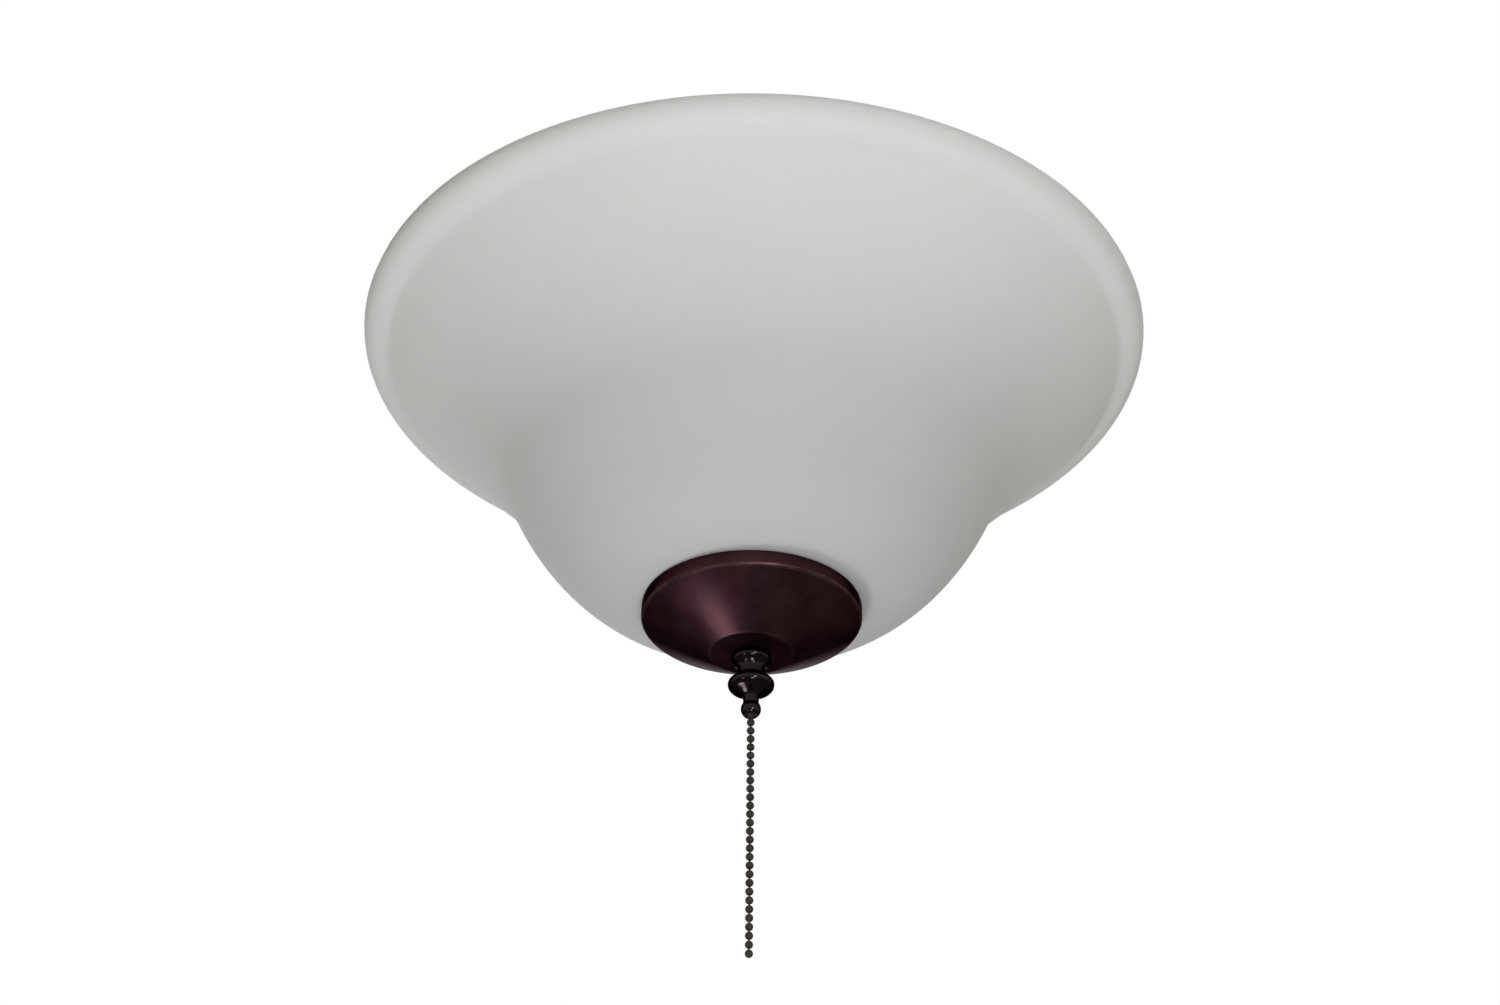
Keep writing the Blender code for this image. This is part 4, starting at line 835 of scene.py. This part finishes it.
nickel = make_finish(
    "rolled_nickel_plate",
    colour=(0.66, 0.64, 0.60),
    second=(0.55, 0.53, 0.49),
    cloud=(0.005, 0.6),
    grain=(0.0002, 0.1),
    roughness=(0.26, 0.14),
    relief=0.00001,
    Metallic=1.0,
)
bulb_glass = make_finish(
    "soft_white_lamp_glass",
    colour=(0.86, 0.86, 0.83),
    second=(0.82, 0.81, 0.78),
    cloud=(0.02, 0.4),
    grain=(0.0004, 0.03),
    roughness=(0.30, 0.08),
    relief=0.00001,
    Subsurface_Weight=0.3,
    Subsurface_Scale=0.004,
)
insulator_glass = make_finish(
    "black_insulator_glass",
    colour=(0.012, 0.010, 0.012),
    second=(0.020, 0.016, 0.018),
    cloud=(0.003, 0.5),
    grain=(0.0004, 0.2),
    roughness=(0.12, 0.06),
    relief=0.00001,
)


def along(start, start_handle, end_handle, end, steps):
    """Points on a smooth curve, its first point left out."""
    knots = [Vector((*point, 0)) for point in (start, start_handle, end_handle, end)]
    return [(p.x, p.y) for p in interpolate_bezier(*knots, steps + 1)[1:]]


collar = [(BASE_RADIUS + out, BASE_END + up) for out, up in COLLAR_POINTS]
collar = soften(collar, COLLAR_SOFTNESS)
insulator = [(radius, BASE_TIP + up) for radius, up in INSULATOR_POINTS]
insulator = soften(insulator, INSULATOR_SOFTNESS, looped=False)
tip = [(radius, BASE_TIP + up) for radius, up in TIP_POINTS]
globe = arc((0, BULB_TOP - BULB_RADIUS), BULB_RADIUS, -BULB_JOIN, BULB_CROWN, GLOBE_STEPS)
neck = (BULB_NECK, BASE_END)
neck_handle = (BULB_NECK, (BASE_END + globe[0][1]) / 2)
globe_handle = (
    globe[0][0] - math.sin(BULB_JOIN) * BULB_RADIUS / 2,
    globe[0][1] - math.cos(BULB_JOIN) * BULB_RADIUS / 2,
)
envelope = [(BULB_NECK, BASE_END - BULB_SHANK), neck]
envelope += along(neck, neck_handle, globe_handle, globe[0], NECK_STEPS) + globe[1:]
for number, place in enumerate(SOCKET_PLACES, 1):
    mesh = rolled_tube(
        f"lamp_screw_base_{number}",
        BASE_RADIUS - BASE_WALL,
        BASE_RADIUS,
        BASE_TIP + THREADS_FROM_TIP,
        BASE_END - THREADS_FROM_END,
    )
    place_piece(mesh, nickel, "fitter", "nickel_plate", [f"lamp_base_{number}"], **place)
    mesh = turned(f"lamp_base_collar_{number}", collar, BASE_SIDES)
    place_piece(mesh, nickel, "fitter", "nickel_plate", [], **place)
    mesh = turned(f"lamp_insulator_{number}", insulator, INSULATOR_SIDES, looped=False)
    place_piece(mesh, insulator_glass, "fitter", "nickel_plate", [], **place)
    mesh = turned(f"lamp_tip_{number}", tip, TIP_SIDES, looped=False)
    place_piece(mesh, nickel, "fitter", "nickel_plate", [], **place)
    mesh = turned(f"lamp_envelope_{number}", envelope, BULB_SIDES, looped=False)
    place_piece(mesh, bulb_glass, "fitter", "frosted_bulb", [f"bulb_{number}"], **place)

# Leads: white and black insulated copper inside the cluster body, three of each colour
# joined under a twist-on connector.
white_insulation = make_finish(
    "white_lead_insulation",
    colour=(0.76, 0.75, 0.71),
    second=(0.68, 0.66, 0.60),
    cloud=(0.01, 0.5),
    grain=(0.0005, 0.08),
    roughness=(0.42, 0.1),
    relief=0.00001,
)
black_insulation = make_finish(
    "black_lead_insulation",
    colour=(0.018, 0.018, 0.018),
    second=(0.032, 0.031, 0.030),
    cloud=(0.01, 0.5),
    grain=(0.0005, 0.2),
    roughness=(0.42, 0.1),
    relief=0.00001,
)
refinish("white_leads", white_insulation)
refinish("black_leads", black_insulation)

# Centre rod: a hollow threaded rod locked in the cover by two nuts. Lower down it carries a
# stop nut, a washer and a rubber gasket, which the bowl's floor is pulled up against.
STEM_RADIUS = 0.004
STEM_BORE = 0.0025
STEM_PITCH = 0.001
STEM_SIDES = 36
STEM_FLATS = 0.013
WASHER_SOFTNESS = 0.0003
WASHER_SIDES = 72
RUBBER_SOFTNESS = 0.0006

rubber = make_finish(
    "black_gasket_rubber",
    colour=(0.028, 0.028, 0.028),
    second=(0.048, 0.047, 0.045),
    cloud=(0.006, 0.6),
    grain=(0.0005, 0.3),
    roughness=(0.72, 0.14),
    relief=0.00005,
)


def flat_ring(name, inner, outer, low, high, softness, sides):
    """A flat ring with its edges rounded off."""
    outline = [(inner, low), (outer, low), (outer, high), (inner, high)]
    return turned(name, soften(outline, softness), sides)


low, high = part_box("centre_stem")
mesh = threaded("threaded_rod", STEM_RADIUS, STEM_BORE, low.z, high.z, STEM_PITCH, STEM_SIDES)
place_piece(mesh, zinc, "fitter", "zinc_plate", ["centre_stem"])
for node in ("stem_upper_nut", "stem_lower_nut", "stop_nut"):
    low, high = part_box(node)
    mesh = hex_nut(f"rod_{node}", STEM_FLATS, STEM_HOLE, high.z - low.z)
    place_piece(mesh, zinc, "fitter", "zinc_plate", [node], (0, 0, low.z))
for node, material, slot_name, softness in (
    ("stem_washer", zinc, "zinc_plate", WASHER_SOFTNESS),
    ("seat_washer", zinc, "zinc_plate", WASHER_SOFTNESS),
    ("upper_gasket", rubber, "rubber", RUBBER_SOFTNESS),
):
    low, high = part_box(node)
    mesh = flat_ring(f"rod_{node}", STEM_HOLE, high.x, low.z, high.z, softness, WASHER_SIDES)
    place_piece(mesh, material, "fitter", slot_name, [node])

# Glass bowl: opal glass blown in a mould and etched to an even frost, with a rolled lip, a
# flare, a waist and a belly. Its floor has a centre hole, and the cap and finial hold it up.
RIM_RADIUS = 0.165
GLASS_WALL = 0.004
LIP_CROWN_DEPTH = 0.0031
LIP_HEIGHT = 0.0129
LIP_OVERHANG = 0.0102
LIP_EDGE_ROUND = 0.0009
LIP_ROUND_END = math.radians(70)
LIP_STEPS = 14
CREASE_STEPS = 8
FLARE_START_ANGLE = math.radians(37.4)
FLARE_START_PULL = 0.274
FLARE_END_PULL = 0.327
FLARE_STEPS = 26
WAIST_RADIUS = 0.1000
WAIST_DEPTH = 0.0770
WAIST_ANGLE = math.radians(24.2)
BELLY_START_PULL = 0.262
BELLY_END_PULL = 0.387
BELLY_STEPS = 28
BASE_EDGE_RADIUS = 0.044
BASE_EDGE_DEPTH = 0.1285
BASE_EDGE_ANGLE = math.radians(11.5)
BASE_PULL = 0.35
BASE_STEPS = 8
GLASS_HOLE_RADIUS = 0.0065
BOWL_SIDES = 192
# Painted shade on the glass: the heights between which it darkens, and how light the glass looks
# at each.
PAINTED_HEIGHT_SHADES = {"Low": -0.125, "High": -0.03, "Low Shade": 0.857, "High Shade": 1.085}

bowl_low, bowl_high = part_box("glass_bowl")


def moved(point, direction, distance):
    """The point this far along a direction in the section's plane."""
    return (point[0] + direction[0] * distance, point[1] + direction[1] * distance)


def bowl_outside():
    """The bowl's outside from its lip's widest point to its centre hole."""
    rim = bowl_high.z
    crown = (RIM_RADIUS - LIP_OVERHANG, rim - LIP_CROWN_DEPTH)
    drop = LIP_HEIGHT - LIP_CROWN_DEPTH
    lip = []
    for across, down in arc((0, 0), 1.0, 0, LIP_ROUND_END, LIP_STEPS):
        lip.append((crown[0] + across * LIP_OVERHANG, crown[1] - down * drop))
    crease = (crown[0], crown[1] - drop)
    waist = (WAIST_RADIUS, rim - WAIST_DEPTH)
    edge = (BASE_EDGE_RADIUS, rim - BASE_EDGE_DEPTH)
    centre = (GLASS_HOLE_RADIUS, bowl_low.z)
    flare_length = math.dist(crease, waist)
    belly_length = math.dist(waist, edge)
    base_reach = BASE_PULL * (BASE_EDGE_RADIUS - GLASS_HOLE_RADIUS)
    inward = (-math.sin(FLARE_START_ANGLE), -math.cos(FLARE_START_ANGLE))
    down = (-math.sin(WAIST_ANGLE), -math.cos(WAIST_ANGLE))
    level = (math.cos(BASE_EDGE_ANGLE), math.sin(BASE_EDGE_ANGLE))
    flare = along(
        crease,
        moved(crease, inward, FLARE_START_PULL * flare_length),
        moved(waist, down, -FLARE_END_PULL * flare_length),
        waist,
        FLARE_STEPS,
    )
    ending = (Vector(lip[-1]) - Vector(lip[-2])).normalized()
    onward = (Vector(flare[1]) - Vector(flare[0])).normalized()
    swing = math.dist(lip[-1], flare[0]) / 3
    round_handle = moved(lip[-1], ending, swing)
    flare_handle = moved(flare[0], onward, -swing)
    points = lip + along(lip[-1], round_handle, flare_handle, flare[0], CREASE_STEPS) + flare[1:]
    points += along(
        waist,
        moved(waist, down, BELLY_START_PULL * belly_length),
        moved(edge, level, BELLY_END_PULL * belly_length),
        edge,
        BELLY_STEPS,
    )
    edge_handle = moved(edge, level, -base_reach)
    centre_handle = (centre[0] + base_reach, centre[1])
    return points + along(edge, edge_handle, centre_handle, centre, BASE_STEPS)


def bowl_inside(outside):
    """The inner face, one wall in from the outer one."""
    inner = []
    for index, point in enumerate(outside):
        before = Vector(outside[max(index - 1, 0)])
        after = Vector(outside[min(index + 1, len(outside) - 1)])
        run = (after - before).normalized()
        inner.append(moved(point, (run.y, -run.x), GLASS_WALL))
    inner[-1] = (GLASS_HOLE_RADIUS, bowl_low.z + GLASS_WALL)
    return inner


def make_painted_height_shade_group():
    """Shader group for painted shade: dims a colour from a high level down to a low one."""
    takes = [("Vector", "vector"), ("Color", "colour")]
    takes += [(label, "value") for label in PAINTED_HEIGHT_SHADES]
    group, given, result = new_group("painted_height_shade", takes, [("Color", "colour")])
    split = group.nodes.new("ShaderNodeSeparateXYZ")
    group.links.new(given["Vector"], split.inputs[0])
    shade = group.nodes.new("ShaderNodeMapRange")
    group.links.new(split.outputs["Z"], shade.inputs["Value"])
    for label, socket in zip(PAINTED_HEIGHT_SHADES, ("From Min", "From Max", "To Min", "To Max")):
        group.links.new(given[label], shade.inputs[socket])
    group.links.new(shade_node(group, given["Color"], shade.outputs["Result"]), result["Color"])
    return group


frosted_glass = make_finish(
    "etched_opal_glass",
    colour=(0.714, 0.708, 0.676),
    second=(0.690, 0.685, 0.655),
    cloud=(0.09, 0.7),
    grain=(0.0005, 0.05),
    roughness=(0.46, 0.06),
    relief=0.00004,
    Subsurface_Weight=1.0,
    Subsurface_Radius=(1.0, 0.98, 0.93),
    Subsurface_Scale=0.004,
    IOR=1.5,
    Specular_IOR_Level=0.04,
)
tree = frosted_glass.node_tree
look = tree.nodes["look"]
# Painted shade: the glass's colour is dimmed towards the bottom and lightened near the rim.
wall = tree.nodes.new("ShaderNodeGroup")
wall.node_tree = make_painted_height_shade_group()
tree.links.new(look.inputs["Vector"].links[0].from_socket, wall.inputs["Vector"])
tree.links.new(look.outputs["Color"], wall.inputs["Color"])
for label, value in PAINTED_HEIGHT_SHADES.items():
    wall.inputs[label].default_value = value
tree.links.new(wall.outputs["Color"], tree.nodes["Principled BSDF"].inputs["Base Color"])
outside = bowl_outside()
rim_face = [
    (RIM_RADIUS - GLASS_WALL, bowl_high.z),
    (RIM_RADIUS - LIP_EDGE_ROUND, bowl_high.z),
]
outline = soften(rim_face + outside + bowl_inside(outside)[::-1], LIP_EDGE_ROUND)
mesh = turned("opal_bowl", outline, BOWL_SIDES)
place_piece(mesh, frosted_glass, "bowl", "frosted_glass", ["glass_bowl"])

# Retaining cap and its gasket ring: a spun steel dish under the bowl, in satin oil-rubbed
# bronze that is brighter on its edges, partly rubbed wear and partly a painted highlight. The
# rubber ring keeps it off the glass.
CAP_RADIUS = 0.04435
CAP_RIM_HEIGHT = 0.0066
CAP_FLAT_RADIUS = 0.0168
CAP_WALL = 0.0012
CAP_EDGE_ROUND = 0.0008
CAP_SOFTNESS = 0.0012
CAP_SIDES = 160
GASKET_WIDTH = 0.002
GASKET_SOFTNESS = 0.0004
GASKET_SIDES = 128
BRONZE_CLOUD = (0.012, 0.75)
BRONZE_GRAIN = (0.0005, 0.60)
PATCH_SCALE = 180.0
PATCH_DETAIL = 3.0
PATCH_CONTRAST = 1.6
PATCH_DARKENING = -0.3

cap_low, cap_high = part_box("retaining_cap")
rim_bottom = cap_high.z - CAP_RIM_HEIGHT
# Where each finish is rubbed through and carries a painted highlight: a ring's radius and height,
# its width and its strength.
CAP_WEAR_AND_HIGHLIGHT_RINGS = [
    (CAP_FLAT_RADIUS, cap_low.z, 0.0012, 0.18),
    (CAP_RADIUS, rim_bottom, 0.0013, 0.9),
]


def make_wear_and_highlight_ring_group():
    """Shader group for a ring round Z where a finish is rubbed through and carries a painted
    highlight, most at its middle.
    """
    takes = [("Vector", "vector"), ("Radius", "value"), ("Height", "value"), ("Width", "value")]
    group, given, result = new_group("wear_and_highlight_ring", takes, [("Mask", "value")])
    split = group.nodes.new("ShaderNodeSeparateXYZ")
    group.links.new(given["Vector"], split.inputs[0])
    x_square = math_node(group, "MULTIPLY", split.outputs["X"], split.outputs["X"])
    y_square = math_node(group, "MULTIPLY", split.outputs["Y"], split.outputs["Y"])
    radius = math_node(group, "SQRT", math_node(group, "ADD", x_square, y_square))
    off_radius = math_node(group, "SUBTRACT", radius, given["Radius"])
    off_height = math_node(group, "SUBTRACT", split.outputs["Z"], given["Height"])
    first = math_node(group, "MULTIPLY", off_radius, off_radius)
    second = math_node(group, "MULTIPLY", off_height, off_height)
    distance = math_node(group, "SQRT", math_node(group, "ADD", first, second))
    near = math_node(group, "DIVIDE", distance, given["Width"])
    edge = math_node(group, "SUBTRACT", 1.0, near, clamp=True)
    patchy = noise_node(group, given["Vector"], PATCH_SCALE, PATCH_DETAIL)
    broken = math_node(group, "MULTIPLY_ADD", patchy, PATCH_CONTRAST, PATCH_DARKENING, clamp=True)
    group.links.new(math_node(group, "MULTIPLY", edge, broken), result["Mask"])
    return group


wear_and_highlight_ring = make_wear_and_highlight_ring_group()


def make_bronze(name, wear_and_highlight_colour, rings, **finish):
    """Oil-rubbed bronze that shows a brighter colour, partly rubbed wear and partly a painted
    highlight, on the given (radius, height, width, strength) rings."""
    made = make_finish(name, cloud=BRONZE_CLOUD, grain=BRONZE_GRAIN, **finish)
    tree = made.node_tree
    shader = tree.nodes["Principled BSDF"]
    look = tree.nodes["look"]
    place = look.inputs["Vector"].links[0].from_socket
    total = None
    for radius, height, width, strength in rings:
        ring = tree.nodes.new("ShaderNodeGroup")
        ring.node_tree = wear_and_highlight_ring
        tree.links.new(place, ring.inputs["Vector"])
        ring.inputs["Radius"].default_value = radius
        ring.inputs["Height"].default_value = height
        ring.inputs["Width"].default_value = width
        part = math_node(tree, "MULTIPLY", ring.outputs["Mask"], strength)
        total = part if total is None else math_node(tree, "ADD", total, part, clamp=True)
    colours = mix_node(tree, total, look.outputs["Color"], wear_and_highlight_colour)
    tree.links.new(colours, shader.inputs["Base Color"])
    return made


cap_bronze = make_bronze(
    "oil_rubbed_bronze_cap",
    wear_and_highlight_colour=(0.16, 0.115, 0.115),
    rings=CAP_WEAR_AND_HIGHLIGHT_RINGS,
    colour=(0.0310, 0.0122, 0.0145),
    second=(0.0560, 0.0242, 0.0280),
    roughness=(0.35, 0.06),
    relief=0.00002,
    Metallic=0.85,
    Specular_IOR_Level=0.0,
    Specular_Tint=(0.23, 0.18, 0.21, 1.0),
)
slope = (rim_bottom - cap_low.z) / (CAP_RADIUS - CAP_EDGE_ROUND - CAP_FLAT_RADIUS)
inner_corner = cap_low.z + CAP_WALL + slope * (CAP_RADIUS - CAP_WALL - CAP_FLAT_RADIUS)
outline = [
    (CAP_RADIUS, cap_high.z),
    (CAP_RADIUS, rim_bottom + CAP_EDGE_ROUND),
    (CAP_RADIUS - CAP_EDGE_ROUND, rim_bottom),
    (CAP_FLAT_RADIUS, cap_low.z),
    (STEM_HOLE, cap_low.z),
    (STEM_HOLE, cap_low.z + CAP_WALL),
    (CAP_FLAT_RADIUS, cap_low.z + CAP_WALL),
    (CAP_RADIUS - CAP_WALL, inner_corner),
    (CAP_RADIUS - CAP_WALL, cap_high.z),
]
mesh = turned("spun_cap", soften(outline, CAP_SOFTNESS), CAP_SIDES)
place_piece(mesh, cap_bronze, "bowl", "oil_rubbed_bronze", ["retaining_cap"])

low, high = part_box("cap_gasket")
mesh = flat_ring(
    "cap_seal_ring",
    high.x - GASKET_WIDTH,
    high.x,
    low.z,
    high.z,
    GASKET_SOFTNESS,
    GASKET_SIDES,
)
place_piece(mesh, rubber, "bowl", "rubber", ["cap_gasket"])

# Finial: a turned knob with a bead collar, an urn and a ball, in glossier bronze than the
# cap. Its upper bore screws up on the rod, and the chain runs down out of the ball's mouth.
COLLAR_CENTRE = (0.0053, -0.00235)
COLLAR_ROUND = 0.0026
COLLAR_END = math.radians(60)
NECK = (0.0054, -0.0078)
URN_HEIGHT = -0.0138
URN_UPPER_CENTRE = 0.00697
URN_UPPER_ROUND = 0.0023
URN_UPPER_END = math.radians(75)
URN_LOWER_CENTRE = 0.00627
URN_LOWER_ROUND = 0.0030
URN_LOWER_END = math.radians(49)
URN_CREASE = (-0.00012, -0.00006)
FINIAL_WAIST = (0.00314, -0.0190)
BALL_CENTRE = (0, -0.02485)
BALL_RADIUS = 0.00402
FINIAL_MOUTH = 0.0024
FINIAL_MOUTH_HEIGHT = -0.02807
FINIAL_BORE = 0.0021
FINIAL_STEP = -0.0125
FINIAL_SIDES = 96
# The mouth's bright ring is a painted highlight, and the faint urn and collar rings are rubbed
# wear.
FINIAL_WEAR_AND_HIGHLIGHT_RINGS = [
    (URN_UPPER_CENTRE + URN_UPPER_ROUND, URN_HEIGHT, 0.0012, 0.03),
    (COLLAR_CENTRE[0] + COLLAR_ROUND, COLLAR_CENTRE[1], 0.001, 0.03),
    (FINIAL_MOUTH, FINIAL_MOUTH_HEIGHT, 0.0005, 0.9),
]

finial_low, finial_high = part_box("finial")


def finial_section():
    """The finial's section, its own top face at zero: outside first, then the stepped bore."""
    collar_start = math.asin(-COLLAR_CENTRE[1] / COLLAR_ROUND)
    outer = arc(COLLAR_CENTRE, COLLAR_ROUND, collar_start, -COLLAR_END, 14)
    cove = (NECK[0], (outer[-1][1] + NECK[1]) / 2)
    outer += along(outer[-1], cove, cove, NECK, 8)
    urn = arc((URN_UPPER_CENTRE, URN_HEIGHT), URN_UPPER_ROUND, URN_UPPER_END, 0, 10)
    urn_top = urn[0]
    outer += along(NECK, (NECK[0], urn_top[1]), (NECK[0], urn_top[1]), urn_top, 10)
    urn += arc((URN_LOWER_CENTRE, URN_HEIGHT), URN_LOWER_ROUND, 0, -URN_LOWER_END, 10)[1:]
    outer += urn[1:]
    crease = moved(urn[-1], URN_CREASE, 1)
    inset = crease[0] - FINIAL_WAIST[0]
    fall = crease[1] - FINIAL_WAIST[1]
    leave = (crease[0] - inset / 16, crease[1] - fall / 4)
    arrive = (FINIAL_WAIST[0] + inset / 4, FINIAL_WAIST[1] + fall * 2 / 5)
    outer += [crease] + along(crease, leave, arrive, FINIAL_WAIST, 14)
    ball_top = math.acos(FINIAL_WAIST[0] / BALL_RADIUS)
    ball_end = -math.acos(FINIAL_MOUTH / BALL_RADIUS)
    outer += arc(BALL_CENTRE, BALL_RADIUS, ball_top, ball_end, 16)
    bore = [(FINIAL_BORE, outer[-1][1]), (FINIAL_BORE, FINIAL_STEP), (STEM_HOLE, FINIAL_STEP)]
    return outer + bore + [(STEM_HOLE, 0)]


finial_bronze = make_bronze(
    "oil_rubbed_bronze_finial",
    wear_and_highlight_colour=(0.30, 0.26, 0.25),
    rings=FINIAL_WEAR_AND_HIGHLIGHT_RINGS,
    colour=(0.0200, 0.0148, 0.0160),
    second=(0.0245, 0.0178, 0.0192),
    roughness=(0.13, 0.02),
    relief=0.000001,
    Metallic=1.0,
    Specular_Tint=(0.14, 0.11, 0.13, 1.0),
)
mesh = turned("turned_finial", finial_section(), FINIAL_SIDES)
top = (0, 0, finial_high.z)
place_piece(mesh, finial_bronze, "finial_knob", "oil_rubbed_bronze", ["finial"], top)

# Bead chain: hollow dark bronze beads joined by short shanks whose heads turn inside them.
# One stretch slides in the rod, a link swings under the finial, and the free end hangs on it.
BEAD_RADIUS = 0.0016
BEAD_PITCH = 0.00363
BEAD_WALL = 0.0003
BEAD_STEPS = 12
HOLLOW_REACH = math.radians(88)
HOLLOW_STEPS = 8
SHANK_RADIUS = 0.00035
MOUTH_RADIUS = 0.00060
MOUTH_INNER_RADIUS = 0.8 * MOUTH_RADIUS
MOUTH_DIP = 0.00012
CHAIN_END_RADIUS = 0.0001
SWING_MOUTH_ANGLE = math.radians(52)
LINK_HEAD_RADIUS = 0.00105
LINK_HEAD_END = math.radians(85)
LINK_STEPS = 8
FREE_BEADS = 24
CHAIN_SIDES = 20


def bead_section(count, open_top=False, open_bottom=False):
    """The section of a run of beads, its top bead's centre at zero, each drawn in at its
    mouths. An open end is a hollow bead whose mouth is wide enough for the link to swing."""
    mouth = math.asin(MOUTH_RADIUS / BEAD_RADIUS)
    dip = BEAD_RADIUS * math.cos(mouth) - MOUTH_DIP
    hollow = BEAD_RADIUS - BEAD_WALL
    points = []
    for bead in range(count):
        centre = (0, -bead * BEAD_PITCH)
        swings_above = open_top and bead == 0
        swings_below = open_bottom and bead == count - 1
        start = math.pi / 2 - (SWING_MOUTH_ANGLE if swings_above else mouth)
        end = (SWING_MOUTH_ANGLE if swings_below else mouth) - math.pi / 2
        if swings_above:
            points += arc(centre, hollow, -HOLLOW_REACH, start, HOLLOW_STEPS)
        else:
            shank = CHAIN_END_RADIUS if bead == 0 else SHANK_RADIUS
            points += [(shank, centre[1] + dip), (MOUTH_INNER_RADIUS, centre[1] + dip)]
        points += arc(centre, BEAD_RADIUS, start, end, BEAD_STEPS)
        if swings_below:
            points += arc(centre, hollow, end, HOLLOW_REACH, HOLLOW_STEPS)
        else:
            shank = CHAIN_END_RADIUS if bead == count - 1 else SHANK_RADIUS
            points += [(MOUTH_INNER_RADIUS, centre[1] - dip), (shank, centre[1] - dip)]
    return points


low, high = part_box("chain_upper")
section = bead_section(round((high.z - low.z) / BEAD_PITCH), open_bottom=True)
mesh = turned("pull_chain_upper", section, CHAIN_SIDES, looped=False)
top = (0, 0, high.z - BEAD_RADIUS)
place_piece(mesh, chain_bronze, "upper_chain", "bronze_chain", ["chain_upper"], top)

low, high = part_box("chain_link")
pole = math.pi / 2 - math.asin(SHANK_RADIUS / LINK_HEAD_RADIUS)
outline = arc((0, 0), LINK_HEAD_RADIUS, LINK_HEAD_END, -pole, LINK_STEPS)
outline += arc((0, -BEAD_PITCH), LINK_HEAD_RADIUS, pole, -LINK_HEAD_END, LINK_STEPS)
mesh = turned("pull_chain_swing_link", outline, CHAIN_SIDES, looped=False)
top = (0, 0, high.z - LINK_HEAD_RADIUS)
place_piece(mesh, chain_bronze, "swing_link", "bronze_chain", ["chain_link"], top)

low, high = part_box("chain_lower")
section = bead_section(FREE_BEADS, open_top=True)
mesh = turned("pull_chain_free_end", section, CHAIN_SIDES, looped=False)
top = (0, 0, low.z + BEAD_RADIUS + (FREE_BEADS - 1) * BEAD_PITCH)
place_piece(mesh, chain_bronze, "hanging_chain", "bronze_chain", ["chain_lower"], top)
